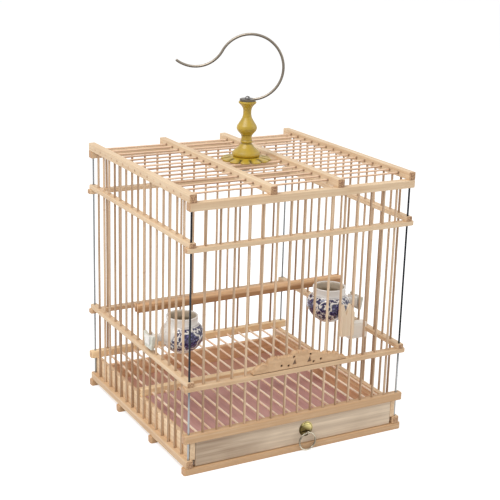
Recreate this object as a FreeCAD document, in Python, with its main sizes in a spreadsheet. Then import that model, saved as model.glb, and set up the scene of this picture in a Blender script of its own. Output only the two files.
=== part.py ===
import FreeCAD, Part
import os
import re
import Sketcher

# Square bamboo songbird cage. +X is right, +Y is the back and +Z is up.
# The origin is the middle of the base, on the floor.
# Rails are stacked and threaded on a steel rod at each corner.
# Bamboo sticks run through the drilled rails and end in sockets.

Vector = FreeCAD.Vector
UP = Vector(0, 0, 1)

# Driving sizes: millimetres, unless the name says count or angle (degrees).
SIZES = {
    # bamboo sticks, their holes, and the steel rods at the corners
    "stick_dia": 2.5,
    "stick_pitch": 15.0,
    "stick_count": 15,
    "door_stick_count": 7,
    "glue_gap": 0.05,
    "slide_gap": 0.3,
    "seat_gap": 0.1,
    "stick_socket": 3.0,
    "roof_socket": 2.0,
    "rod_dia": 2.0,
    "rod_socket": 5.0,
    # rails: the thin ones make the two rings, the thick ones the top and the floor
    "rail_width": 8.0,
    "thin_rail": 4.75,
    "thick_rail": 8.0,
    "rail_overhang": 6.0,
    "rail_round": 0.8,
    "end_round": 2.2,
    "roof_end_round": 1.0,
    "roof_bar_width": 7.5,
    "roof_bar_height": 8.0,
    "mid_bar_offset": 37.0,
    "base_bar_height": 7.0,
    "base_rail_height": 7.5,
    "cross_bar_offset": 42.0,
    # undersides of the front rails above the floor
    "floor_level": 33.0,
    "mid_level": 86.0,
    "upper_level": 222.0,
    "top_level": 261.0,
    # litter drawer and the boards that guide it
    "guide_thickness": 5.2,
    "drawer_gap": 0.3,
    "drawer_setback": 2.0,
    "drawer_front_thickness": 6.0,
    "drawer_wall": 5.0,
    "drawer_wall_height": 21.0,
    "drawer_floor": 3.0,
    "drawer_depth": 228.0,
    # brass pull on the drawer front
    "pull_offset": 10.0,
    "pull_level": 22.3,
    "rosette_radius": 7.4,
    "rosette_rim": 0.7,
    "rosette_dome": 2.2,
    "eye_drop": 2.6,
    "eye_wire": 1.0,
    "eye_shank": 0.8,
    "ring_radius": 9.2,
    "ring_wire": 1.7,
    "ring_gap": 0.1,
    "ring_clear": 1.5,
    # lift door
    "door_board_margin": 8.0,
    "door_board_thickness": 6.0,
    "door_board_height": 18.0,
    "door_board_sole": 2.5,
    "carving_depth": 1.1,
    "carving_hole": 2.2,
    # perch
    "perch_size": 9.0,
    "perch_level": 125.5,
    "perch_round": 2.0,
    "perch_overhang": 2.0,
    # porcelain cups, and the forked clips that lock them to the wall
    "cup_belly": 22.8,
    "cup_foot": 10.5,
    "cup_mouth": 16.4,
    "cup_height": 38.0,
    "cup_neck": 9.0,
    "cup_wall": 2.6,
    "cup_belly_level": 17.5,
    "cup_standoff": 32.0,
    "cup_shift": 2.9,
    "cup_left_level": 91.5,
    "cup_right_level": 98.5,
    "lug_width": 6.0,
    "lug_height": 7.0,
    "lug_head": 10.0,
    "lug_head_thickness": 1.4,
    "shoulder_length": 18.0,
    "shoulder_height": 10.0,
    "shoulder_thickness": 1.6,
    "clip_length": 23.0,
    "clip_height": 15.0,
    "clip_thickness": 2.8,
    # treat fork, and its saddle on the right middle rail
    "saddle_width": 9.0,
    "saddle_shift": 0.9,
    "saddle_cap": 5.0,
    "saddle_drop": 7.0,
    "saddle_inner": 18.8,
    "saddle_jaw": 2.0,
    "fork_overlap": 2.3,
    "fork_lift": 5.7,
    "fork_width": 15.5,
    "fork_thickness": 3.5,
    "fork_height": 35.5,
    "fork_notch_width": 7.5,
    "fork_notch_depth": 12.5,
    # hook seat: bridge, lotus, turned stem, bolt and nut
    "bridge_width": 16.0,
    "bridge_height": 9.0,
    "lotus_radius": 26.3,
    "lotus_height": 3.5,
    "lotus_crown": 13.0,
    "lotus_rim": 1.2,
    "petal_count": 12,
    "petal_notch": 9.0,
    "stem_height": 56.7,
    "stem_foot": 11.5,
    "stem_bell": 14.6,
    "stem_ring": 6.0,
    "stem_waist": 5.3,
    "stem_bulb": 10.6,
    "stem_neck": 4.2,
    "stem_collar": 9.1,
    "bolt_dia": 4.0,
    "bolt_head": 2.8,
    "nut_width": 8.0,
    "nut_height": 4.0,
    "bolt_tail": 1.5,
    # swivelling hook
    "turn_gap": 0.1,
    "eye_radius": 8.0,
    "eye_thickness": 2.4,
    "hook_wire": 3.0,
    "hook_radius": 32.7,
    "hook_lean": 2.4,
    "hook_curl": 31.5,
    "hook_curl_angle": 28.5,
    "hook_tip_angle": 35.5,
    "hook_turn_angle": -29.0,
}

# Sizes that follow from the driving ones.
FOLLOWING = {
    "half_span": "stick_pitch * (stick_count + 1) / 2",
    "rail_length": "2 * half_span + 2 * rail_overhang",
    "outer_face": "half_span + rail_width / 2",
    "inner_face": "half_span - rail_width / 2",
    "hole_dia": "stick_dia + 2 * glue_gap",
    "door_hole_dia": "stick_dia + 2 * slide_gap",
    "rod_hole_dia": "rod_dia + 2 * glue_gap",
    "side_count": "(stick_count - door_stick_count) / 2",
    "door_edge": "stick_pitch * (door_stick_count - 1) / 2",
    "base_top": "base_bar_height + base_rail_height",
    "floor_top": "floor_level + thick_rail",
    "floor_stick_level": "floor_level + stick_dia",
    "mid_top": "mid_level + thin_rail",
    "mid_side_top": "mid_top + thin_rail",
    "upper_top": "upper_level + thin_rail",
    "roof_level": "top_level + thick_rail",
    "roof_top": "roof_level + roof_bar_height",
    "roof_stick_level": "roof_level + roof_bar_height / 2",
    "roof_end": "half_span + roof_bar_width / 2",
    "guide_outer": "half_span - stick_dia / 2 - seat_gap",
    "guide_inner": "guide_outer - guide_thickness",
    "drawer_half": "guide_inner - drawer_gap",
    "drawer_face": "outer_face - drawer_setback",
    "drawer_level": "base_bar_height + drawer_gap",
    "drawer_front_height": "floor_level - drawer_gap - drawer_level",
    "drawer_inside": "drawer_half - drawer_wall",
    "drawer_back_face": "drawer_depth - drawer_face",
    "ring_plane": "outer_face + ring_clear + ring_wire / 2",
    "eye_hole": "ring_wire / 2 + ring_gap",
    "eye_ring": "eye_hole + eye_wire / 2",
    "pivot_level": "pull_level - eye_drop",
    "door_board_half": "door_edge + door_board_margin",
    "door_board_level": "mid_top + seat_gap",
    "perch_half": "half_span + perch_overhang",
    "cup_station": "stick_pitch * 2.5 - cup_shift",
    "cup_axis": "half_span - cup_standoff",
    "wall_outside": "half_span + stick_dia / 2",
    "clip_outer": "wall_outside + seat_gap + clip_thickness",
    "fork_station": "stick_pitch * 4 - saddle_shift",
    "saddle_inside": "inner_face - glue_gap - saddle_inner",
    "saddle_outside": "inner_face + saddle_jaw",
    "saddle_top": "mid_side_top + glue_gap + saddle_cap",
    "saddle_level": "mid_top - saddle_drop",
    "bridge_half": "mid_bar_offset - roof_bar_width / 2",
    "lotus_seat": "roof_stick_level + stick_dia / 2",
    "stem_seat": "lotus_seat + lotus_height",
    "stem_top": "stem_seat + stem_height",
    "bolt_hole": "bolt_dia / 2 + glue_gap",
    "eye_level": "stem_top + turn_gap",
    "eye_top": "eye_level + eye_thickness",
    "hook_low": "eye_level + hook_wire / 2 + glue_gap",
}

doc = FreeCAD.newDocument("bird_cage")
sheet = doc.addObject("Spreadsheet::Sheet", "Sizes")
for row, (alias, value) in enumerate([*SIZES.items(), *FOLLOWING.items()], start=1):
    text = str(value) if alias in SIZES else "=" + value
    sheet.set(f"A{row}", alias.replace("_", " "))
    sheet.set(f"B{row}", text)
    sheet.setAlias(f"B{row}", alias)
doc.recompute()

NAMES = {*SIZES, *FOLLOWING}
parts = []


def tied(text):
    """An expression in which each size's name points at its cell."""
    return re.sub(r"[a-z_]+", lambda word: "Sizes." + word[0] if word[0] in NAMES else word[0], str(text))


def amount(text):
    """The present value of an expression."""
    return float(sheet.evalExpression(tied(text)))


def bind(thing, **sizes):
    """Ties properties of an object to expressions; a dot in a property is written as two underscores."""
    for name, text in sizes.items():
        thing.setExpression(name.replace("__", "."), tied(text))


def place(thing, x, y, z, turn=0.0):
    """Puts an object at x, y, z, turned about the vertical by a fixed angle in degrees."""
    thing.Placement = FreeCAD.Placement(Vector(), FreeCAD.Rotation(UP, turn))
    bind(thing, Placement__Base__x=x, Placement__Base__y=y, Placement__Base__z=z)


def keep(thing, label):
    """Names an object as a finished sub-part."""
    thing.Label = label
    parts.append(thing)
    return thing


def box(name, low, high):
    """A block between two corners, each three expressions."""
    block = doc.addObject("Part::Box", name)
    bind(block, Length=f"({high[0]}) - ({low[0]})", Width=f"({high[1]}) - ({low[1]})")
    bind(block, Height=f"({high[2]}) - ({low[2]})")
    place(block, *low)
    return block


def cylinder(name, radius, height, x, y, z, axis=UP):
    """A round bar from x, y, z along an axis."""
    bar = doc.addObject("Part::Cylinder", name)
    bind(bar, Radius=radius, Height=height)
    place(bar, x, y, z)
    bar.Placement.Rotation = FreeCAD.Rotation(UP, axis)
    return bar


def cut(name, base, tool):
    """The base with the tool taken away."""
    result = doc.addObject("Part::Cut", name)
    result.Base = base
    result.Tool = tool
    return result


def fuse(name, *pieces):
    """Several solids joined into one."""
    result = doc.addObject("Part::MultiFuse", name)
    result.Shapes = list(pieces)
    result.Refine = True
    return result


def body(name):
    return doc.addObject("PartDesign::Body", name)


def sketch(owner, role, name, lift="0"):
    """A sketch on one of the body's origin planes, lifted along the plane's normal."""
    plane = next(item for item in owner.Origin.OriginFeatures if item.Role == role)
    drawing = owner.newObject("Sketcher::SketchObject", name)
    drawing.AttachmentSupport = [(plane, "")]
    drawing.MapMode = "FlatFace"
    bind(drawing, AttachmentOffset__Base__z=lift)
    return drawing


def fix(drawing, kind, geometry, point, text):
    """A signed distance of a sketch point from the origin, tied to an expression."""
    index = drawing.addConstraint(Sketcher.Constraint(kind, -1, 1, geometry, point, amount(text)))
    drawing.setExpression(f"Constraints[{index}]", tied(text))


def size(drawing, kind, geometry, text):
    """A radius or diameter in a sketch, tied to an expression."""
    index = drawing.addConstraint(Sketcher.Constraint(kind, geometry, amount(text)))
    drawing.setExpression(f"Constraints[{index}]", tied(text))


def outline(drawing, points):
    """A closed outline. A point (x, y) starts a straight run to the next point, and (x, y, bulge) an arc.
    The arc's middle stands off its chord by the bulge, to the left of the way when positive."""
    spots = [Vector(amount(point[0]), amount(point[1]), 0) for point in points]
    count = len(points)
    first = drawing.GeometryCount
    swapped = []
    for index, point in enumerate(points):
        start, end = spots[index], spots[(index + 1) % count]
        if len(point) == 2:
            drawing.addGeometry(Part.LineSegment(start, end))
            swapped.append(False)
            continue
        chord = end - start
        left = Vector(-chord.y, chord.x, 0).normalize()
        bulge = amount(point[2])
        drawing.addGeometry(Part.Arc(start, (start + end) / 2 + left * bulge, end))
        swapped.append(bulge > 0)
    for index, point in enumerate(points):
        here, following = first + index, first + (index + 1) % count
        leaving = 1 if swapped[index] else 2
        entering = 2 if swapped[(index + 1) % count] else 1
        drawing.addConstraint(Sketcher.Constraint("Coincident", here, leaving, following, entering))
        beginning = 2 if swapped[index] else 1
        fix(drawing, "DistanceX", here, beginning, point[0])
        fix(drawing, "DistanceY", here, beginning, point[1])
        if len(point) == 3:
            end = points[(index + 1) % count]
            chord = f"((({end[0]}) - ({point[0]}))^2 + (({end[1]}) - ({point[1]}))^2)"
            rise = f"abs({point[2]})"
            size(drawing, "Radius", here, f"{chord} / (8 * {rise}) + {rise} / 2")


def rectangle(drawing, left, right, low, high):
    outline(drawing, [(left, low), (right, low), (right, high), (left, high)])


def circle(drawing, x, y, diameter):
    centre = Vector(amount(x), amount(y), 0)
    index = drawing.addGeometry(Part.Circle(centre, UP, amount(diameter) / 2))
    fix(drawing, "DistanceX", index, 3, x)
    fix(drawing, "DistanceY", index, 3, y)
    size(drawing, "Diameter", index, diameter)


def pad(owner, drawing, length, both_ways=False, backwards=False):
    """Gives a drawing its thickness."""
    feature = owner.newObject("PartDesign::Pad", drawing.Name + "_pad")
    feature.Profile = drawing
    feature.Reversed = backwards
    feature.Midplane = both_ways
    bind(feature, Length=length)
    owner.Tip = feature
    return feature


def pocket(owner, drawing, depth=None, along_normal=True, both_ways=False):
    """Cuts a drawing into the body, to a depth or right through."""
    feature = owner.newObject("PartDesign::Pocket", drawing.Name + "_pocket")
    feature.Profile = drawing
    feature.Reversed = along_normal
    feature.Midplane = both_ways
    if depth is None:
        feature.Type = "ThroughAll"
    else:
        bind(feature, Length=depth)
    owner.Tip = feature
    return feature


def repeat(owner, feature, drawing, count, pitch="stick_pitch"):
    """A row of copies of a feature along the drawing's horizontal."""
    row = owner.newObject("PartDesign::LinearPattern", feature.Name + "_row")
    row.Originals = [feature]
    row.Direction = (drawing, ["H_Axis"])
    bind(row, Length=f"({pitch}) * (({count}) - 1)", Occurrences=count)
    owner.Tip = row
    return row


def drill_row(owner, name, first, count="stick_count", dia="hole_dia", depth=None, from_top=None):
    """A row of upright holes from x = first, from the underside, or from a top at the height given."""
    drawing = sketch(owner, "XY_Plane", name, from_top or "0")
    circle(drawing, first, "0", dia)
    feature = pocket(owner, drawing, depth, along_normal=from_top is None)
    repeat(owner, feature, drawing, count)


def drill_sockets(owner, name, top):
    """A full row of sockets in the top of a rail."""
    drill_row(owner, name, "stick_pitch - half_span", depth="stick_socket", from_top=top)


def drill_rods(owner, name, depth=None):
    """The two upright holes for the corner rods, right through or as sockets in the underside."""
    drawing = sketch(owner, "XY_Plane", name)
    circle(drawing, "-half_span", "0", "rod_hole_dia")
    circle(drawing, "half_span", "0", "rod_hole_dia")
    pocket(owner, drawing, depth)


def drill_across(owner, name, level, count="stick_count", depth=None):
    """A row of level holes across a rail, right through or as sockets in the face towards +Y."""
    drawing = sketch(owner, "XZ_Plane", name, "0" if depth is None else "-rail_width / 2")
    circle(drawing, "stick_pitch - half_span", level, "hole_dia")
    feature = pocket(owner, drawing, depth, both_ways=depth is None)
    repeat(owner, feature, drawing, count)


def rail(name, length, width, height, end="end_round"):
    """A straight rail along X with eased ends and edges, standing on z = 0 and centred on the Z axis."""
    owner = body(name)
    plan = sketch(owner, "XY_Plane", name + "_plan")
    far, wide = f"({length}) / 2", f"({width}) / 2"
    bulge = f"-{end} * (1 - sqrt(0.5))"
    outline(plan, [
        (f"{end} - {far}", f"-{wide}"),
        (f"{far} - {end}", f"-{wide}", bulge),
        (far, f"{end} - {wide}"),
        (far, f"{wide} - {end}", bulge),
        (f"{far} - {end}", wide),
        (f"{end} - {far}", wide, bulge),
        (f"-{far}", f"{wide} - {end}"),
        (f"-{far}", f"{end} - {wide}", bulge),
    ])
    blank = pad(owner, plan, height)
    doc.recompute()
    long_edges = [
        f"Edge{index}"
        for index, edge in enumerate(blank.Shape.Edges, start=1)
        if abs(edge.tangentAt(edge.FirstParameter).x) > 0.99
    ]
    rounding = owner.newObject("PartDesign::Fillet", name + "_round")
    rounding.Base = (blank, long_edges)
    bind(rounding, Radius="rail_round")
    owner.Tip = rounding
    return owner


def ring_rail(name, drilled=True):
    """A thin rail of the upper or middle ring, with holes for its sticks and the corner rods."""
    owner = rail(name, "rail_length", "rail_width", "thin_rail")
    if drilled:
        drill_row(owner, name + "_sticks", "stick_pitch - half_span")
    drill_rods(owner, name + "_rods")
    return owner


def drill_door_rail(owner, name, depth):
    """Stick holes of a front rail above the door: glued sticks at the sides, sliding ones in the middle."""
    starts = {"left": "stick_pitch - half_span", "right": "half_span - side_count * stick_pitch"}
    for side, first in starts.items():
        drill_row(owner, f"{name}_{side}", first, "side_count", depth=depth)
    drill_row(owner, name + "_door", "-door_edge", "door_stick_count", "door_hole_dia")


def build_rings():
    """The upper and middle rings: front and back rails, with the side rails lying on them."""
    for ring in ("upper", "mid"):
        front = ring_rail(f"{ring}_front_rail", drilled=ring == "mid")
        if ring == "upper":
            drill_door_rail(front, "upper_front", None)
        place(keep(front, f"{ring}_front_rail"), "0", "-half_span", f"{ring}_level")
        place(keep(ring_rail(f"{ring}_back_rail"), f"{ring}_back_rail"), "0", "half_span", f"{ring}_level")
        for side, x, turn in (("left", "-half_span", 90), ("right", "half_span", 90)):
            owner = rail(f"{ring}_{side}_rail", "2 * outer_face", "rail_width", "thin_rail")
            drill_row(owner, f"{ring}_{side}_sticks", "stick_pitch - half_span")
            drill_rods(owner, f"{ring}_{side}_rods")
            place(keep(owner, f"{ring}_{side}_rail"), x, "0", f"{ring}_top", turn)


def build_roof():
    """Top front and back rails, the four roof bars on them, and the bridge that carries the hook."""
    front = rail("top_front_rail", "2 * roof_end", "rail_width", "thick_rail", "roof_end_round")
    drill_door_rail(front, "top_front", "stick_socket")
    drill_rods(front, "top_front_rods")
    place(keep(front, "top_front_rail"), "0", "-half_span", "top_level")
    back = rail("top_back_rail", "2 * roof_end", "rail_width", "thick_rail", "roof_end_round")
    drill_row(back, "top_back_sticks", "stick_pitch - half_span", depth="stick_socket")
    drill_rods(back, "top_back_rods")
    place(keep(back, "top_back_rail"), "0", "half_span", "top_level")
    stations = {
        "left": "-half_span",
        "mid_left": "-mid_bar_offset",
        "mid_right": "mid_bar_offset",
        "right": "half_span",
    }
    for side, x in stations.items():
        name = f"roof_bar_{side}"
        owner = rail(name, "2 * outer_face", "roof_bar_width", "roof_bar_height", "roof_end_round")
        drill_across(owner, name + "_roof", "roof_bar_height / 2")
        if side in ("left", "right"):
            drill_row(owner, name + "_wall", "stick_pitch - half_span", depth="roof_socket")
            drill_rods(owner, name + "_rods", "rod_socket")
        place(keep(owner, name), x, "0", "roof_level", 90)
    bridge = box("bridge_blank", ("-bridge_half", "-bridge_width / 2", "lotus_seat - bridge_height"),
                 ("bridge_half", "bridge_width / 2", "lotus_seat"))
    hole = cylinder("bridge_hole", "bolt_hole", "bridge_height", "0", "0", "lotus_seat - bridge_height")
    keep(cut("hook_bridge", bridge, hole), "hook_bridge")


def build_floor():
    """Front and back floor rails with sockets, and the middle bar on the guide boards."""
    for side, y, turn in (("front", "-half_span", 0), ("back", "half_span", 180)):
        name = f"floor_{side}_rail"
        owner = rail(name, "rail_length", "rail_width", "thick_rail")
        drill_sockets(owner, name + "_wall", "thick_rail")
        drill_across(owner, name + "_floor", "floor_stick_level - floor_level", depth="stick_socket")
        drill_rods(owner, name + "_rods")
        place(keep(owner, name), "0", y, "floor_level", turn)
    middle = rail("floor_mid_bar", "2 * guide_outer", "rail_width", "thick_rail")
    drill_across(middle, "floor_mid_sticks", "floor_stick_level - floor_level")
    place(keep(middle, "floor_mid_bar"), "0", "0", "floor_level")


def build_base():
    """Four bars that the cage stands on, the side rails across them, and the guide boards on those."""
    stations = {
        "base_bar_front": "-half_span",
        "base_bar_mid_front": "-cross_bar_offset",
        "base_bar_mid_back": "cross_bar_offset",
        "base_bar_back": "half_span",
    }
    for name, y in stations.items():
        owner = rail(name, "rail_length", "rail_width", "base_bar_height")
        if name in ("base_bar_front", "base_bar_back"):
            drill_rods(owner, name + "_rods")
        place(keep(owner, name), "0", y, "0")
    for side, x in (("left", "-half_span"), ("right", "half_span")):
        name = f"base_{side}_rail"
        owner = rail(name, "2 * outer_face", "rail_width", "base_rail_height")
        drill_sockets(owner, name + "_wall", "base_rail_height")
        drill_rods(owner, name + "_rods")
        place(keep(owner, name), x, "0", "base_bar_height", 90)
        near, far = ("-guide_outer", "-guide_inner") if side == "left" else ("guide_inner", "guide_outer")
        low, high = (near, "-drawer_face", "base_top"), (far, "drawer_face", "floor_level")
        keep(box(f"guide_board_{side}", low, high), f"guide_board_{side}")


def build_rods():
    """The steel rods that pin the stacked rails at the corners."""
    for depth, y in (("front", "-half_span"), ("back", "half_span")):
        for side, x in (("left", "-half_span"), ("right", "half_span")):
            name = f"corner_rod_{depth}_{side}"
            keep(cylinder(name, "rod_dia / 2", "roof_level + rod_socket", x, y, "0"), name)


def stick_group(name, sticks):
    """A group of loose sticks; each is (foot x, y, z, length, axis)."""
    group = doc.addObject("Part::Compound", name)
    group.Links = [
        cylinder(f"{name}_{index}", "stick_dia / 2", length, x, y, z, axis)
        for index, (x, y, z, length, axis) in enumerate(sticks, start=1)
    ]
    return keep(group, name)


def build_sticks():
    """Wall, roof and floor sticks; those under the door stop in the middle rail."""
    count = int(SIZES["stick_count"])
    side = (count - int(SIZES["door_stick_count"])) // 2
    spots = [f"stick_pitch * {index} - half_span" for index in range(1, count + 1)]
    along_x, along_y = Vector(1, 0, 0), Vector(0, 1, 0)
    foot = "floor_top - stick_socket"
    tall = "top_level + stick_socket - floor_top + stick_socket"
    short = "mid_top - floor_top + stick_socket"
    front = [
        (x, "-half_span", foot, short if side <= index < count - side else tall, UP)
        for index, x in enumerate(spots)
    ]
    stick_group("front_sticks", front)
    stick_group("back_sticks", [(x, "half_span", foot, tall, UP) for x in spots])
    wall = ("base_top - stick_socket", "roof_level + roof_socket - base_top + stick_socket", UP)
    stick_group("left_sticks", [("-half_span", y, *wall) for y in spots])
    stick_group("right_sticks", [("half_span", y, *wall) for y in spots])
    whole = [("-roof_end", y, "roof_stick_level", "2 * roof_end", along_x) for y in spots]
    ends = ("-roof_end", "bridge_half")
    halves = [(x, "0", "roof_stick_level", "roof_end - bridge_half", along_x) for x in ends]
    middle = count // 2
    stick_group("roof_sticks", whole[:middle] + halves + whole[middle + 1:])
    run = "2 * (inner_face + stick_socket)"
    floor = [(x, "-inner_face - stick_socket", "floor_stick_level", run, along_y) for x in spots]
    stick_group("floor_sticks", floor)


def build_door():
    """The lift door: a carved board, and its sticks that slide up through the upper and top front rails."""
    owner = body("door_board")
    face = sketch(owner, "XZ_Plane", "door_board_outline")
    # shares of the half width and of the height, right to left along the carved crags
    crags = [
        (0.96, 0.26), (0.86, 0.44), (0.72, 0.56), (0.52, 0.64), (0.32, 0.80),
        (0.18, 0.92), (0.02, 1.00), (-0.16, 0.94), (-0.26, 0.80), (-0.40, 0.76),
        (-0.52, 0.90), (-0.62, 0.84), (-0.70, 0.56), (-0.80, 0.62), (-0.94, 0.48),
    ]
    top = [(f"door_board_half * {x}", f"door_board_height * {z}") for x, z in crags]
    ends = [("-door_board_half", "door_board_height * 0.1"), ("-door_board_half", "0")]
    outline(face, [("door_board_half", "0"), ("door_board_half", "door_board_height * 0.1"), *top, *ends])
    pad(owner, face, "door_board_thickness", both_ways=True)
    carve = sketch(owner, "XZ_Plane", "door_board_carving", "door_board_thickness / 2")
    for x, z in ((-0.40, 0.26), (-0.25, 0.20), (-0.14, 0.66), (0.22, 0.66), (0.29, 0.19), (0.45, 0.26)):
        circle(carve, f"door_board_half * {x}", f"door_board_height * {z}", "carving_hole")
    for x in (-0.125, 0.195):
        foot = [(x - 0.04, 0.22), (x + 0.03, 0.22), (x + 0.02, 0.52)]
        outline(carve, [(f"door_board_half * {u}", f"door_board_height * {v}") for u, v in foot])
    pocket(owner, carve, "carving_depth", along_normal=False)
    sockets = sketch(owner, "XY_Plane", "door_board_sockets", "door_board_sole")
    circle(sockets, "-door_edge", "0", "hole_dia")
    repeat(owner, pocket(owner, sockets), sockets, "door_stick_count")
    place(keep(owner, "door_board"), "0", "-half_span", "door_board_level")
    count = int(SIZES["door_stick_count"])
    foot = "door_board_level + door_board_sole"
    sticks = [
        (f"stick_pitch * {index} - door_edge", "-half_span", foot, f"roof_level - ({foot})", UP)
        for index in range(count)
    ]
    stick_group("door_sticks", sticks)


def build_drawer():
    """The litter drawer: a front board, two sides, a back and a bottom, between the guide boards."""
    level, inner = "drawer_level", "drawer_face - drawer_front_thickness"
    front_low = ("-drawer_half", "-drawer_face", level)
    front_high = ("drawer_half", f"-({inner})", f"{level} + drawer_front_height")
    keep(box("drawer_front", front_low, front_high), "drawer_front")
    wall_top = f"{level} + drawer_wall_height"
    sides = (("left", "-drawer_half", "-drawer_inside"), ("right", "drawer_inside", "drawer_half"))
    for side, near, far in sides:
        wall = box(f"drawer_{side}_side", (near, f"-({inner})", level), (far, "drawer_back_face", wall_top))
        keep(wall, f"drawer_{side}_side")
    back_low = ("-drawer_inside", "drawer_back_face - drawer_wall", level)
    keep(box("drawer_back", back_low, ("drawer_inside", "drawer_back_face", wall_top)), "drawer_back")
    bottom_low = ("-drawer_inside", f"-({inner})", level)
    bottom_high = ("drawer_inside", "drawer_back_face - drawer_wall", f"{level} + drawer_floor")
    keep(box("drawer_bottom", bottom_low, bottom_high), "drawer_bottom")


def turned(owner, name, points):
    """A solid turned about the vertical from a half profile of (radius, height) points."""
    profile = sketch(owner, "XZ_Plane", name + "_profile")
    outline(profile, points)
    feature = owner.newObject("PartDesign::Revolution", name + "_turned")
    feature.Profile = profile
    feature.ReferenceAxis = (profile, ["V_Axis"])
    feature.Angle = 360
    owner.Tip = feature
    return feature


def build_pull():
    """The brass pull: a domed rosette on the drawer front, an eye in it, and the ring that swings there."""
    rosette = body("pull_rosette")
    turned(rosette, "rosette", [
        ("0", "0"), ("rosette_radius", "0"), ("rosette_radius", "rosette_rim"),
        ("rosette_radius * 0.88", "rosette_rim", "-rosette_dome * 0.3"), ("0", "rosette_dome"),
    ])
    stem_hole = sketch(rosette, "XY_Plane", "rosette_hole")
    circle(stem_hole, "0", "-eye_drop", "eye_shank + 2 * glue_gap")
    pocket(rosette, stem_hole)
    place(keep(rosette, "pull_rosette"), "pull_offset", "-drawer_face", "pull_level")
    rosette.Placement.Rotation = FreeCAD.Rotation(Vector(1, 0, 0), 90)
    loop = doc.addObject("Part::Torus", "eye_loop")
    bind(loop, Radius1="eye_ring", Radius2="eye_wire / 2")
    place(loop, "pull_offset", "-ring_plane", "pivot_level")
    loop.Placement.Rotation = FreeCAD.Rotation(Vector(0, 1, 0), 90)
    reach = "ring_plane - eye_ring - drawer_face"
    root = ("pull_offset", "eye_ring - ring_plane", "pivot_level")
    shank = cylinder("eye_shank", "eye_shank / 2", reach, *root, Vector(0, 1, 0))
    keep(fuse("pull_eye", loop, shank), "pull_eye")
    ring = doc.addObject("Part::Torus", "pull_ring")
    bind(ring, Radius1="ring_radius", Radius2="ring_wire / 2")
    place(ring, "pull_offset", "-ring_plane", "pivot_level - ring_radius")
    ring.Placement.Rotation = FreeCAD.Rotation(Vector(1, 0, 0), 90)
    keep(ring, "pull_ring")


def build_hook_seat():
    """Lotus base, turned stem, and the bolt and nut that hold the hook to the bridge."""
    lotus = body("lotus_base")
    turned(lotus, "lotus", [
        ("bolt_hole", "0"), ("lotus_radius", "0"), ("lotus_radius", "lotus_rim", "-lotus_height * 0.25"),
        ("lotus_crown", "lotus_height"), ("bolt_hole", "lotus_height"),
    ])
    notch = sketch(lotus, "XY_Plane", "petal_notch")
    outline(notch, [("lotus_radius - petal_notch", "0"), ("lotus_radius + 1", "-petal_notch * 0.4"),
                    ("lotus_radius + 1", "petal_notch * 0.4")])
    cut_once = pocket(lotus, notch)
    petals = lotus.newObject("PartDesign::PolarPattern", "petals")
    petals.Originals = [cut_once]
    petals.Axis = (notch, ["N_Axis"])
    petals.Angle = 360
    bind(petals, Occurrences="petal_count")
    lotus.Tip = petals
    place(keep(lotus, "lotus_base"), "0", "0", "lotus_seat")
    stem = body("finial_stem")
    turned(stem, "stem", [
        ("bolt_hole", "0"),
        ("stem_foot", "0", "-stem_bell * 0.03"),
        ("stem_bell", "stem_height * 0.04", "-stem_bell * 0.03"),
        ("stem_ring * 1.1", "stem_height * 0.21"),
        ("stem_waist", "stem_height * 0.235"),
        ("stem_waist", "stem_height * 0.25"),
        ("stem_ring", "stem_height * 0.255", "-stem_ring * 0.05"),
        ("stem_ring", "stem_height * 0.29"),
        ("stem_waist", "stem_height * 0.3", "stem_waist * 0.04"),
        ("stem_waist * 1.05", "stem_height * 0.39", "-stem_bulb * 0.05"),
        ("stem_bulb", "stem_height * 0.51", "-stem_bulb * 0.06"),
        ("stem_neck * 1.5", "stem_height * 0.66", "stem_neck * 0.08"),
        ("stem_neck", "stem_height * 0.755"),
        ("stem_neck", "stem_height * 0.845", "stem_neck * 0.16"),
        ("stem_collar", "stem_height * 0.97"),
        ("stem_collar", "stem_height"),
        ("bolt_hole", "stem_height"),
    ])
    place(keep(stem, "finial_stem"), "0", "0", "stem_seat")
    nut_level = "lotus_seat - bridge_height - nut_height"
    foot = f"{nut_level} - bolt_tail"
    shank = cylinder("bolt_shank", "bolt_dia / 2", f"eye_top + turn_gap - ({foot})", "0", "0", foot)
    head = doc.addObject("Part::Sphere", "bolt_dome")
    head.Angle1 = 0
    bind(head, Radius="bolt_head")
    place(head, "0", "0", "eye_top + turn_gap")
    keep(fuse("hook_bolt", shank, head), "hook_bolt")
    blank = doc.addObject("Part::Prism", "nut_blank")
    blank.Polygon = 6
    bind(blank, Circumradius="nut_width / sqrt(3)", Height="nut_height")
    place(blank, "0", "0", nut_level)
    hole = cylinder("nut_hole", "bolt_hole", "nut_height", "0", "0", nut_level)
    keep(cut("hook_nut", blank, hole), "hook_nut")


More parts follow.
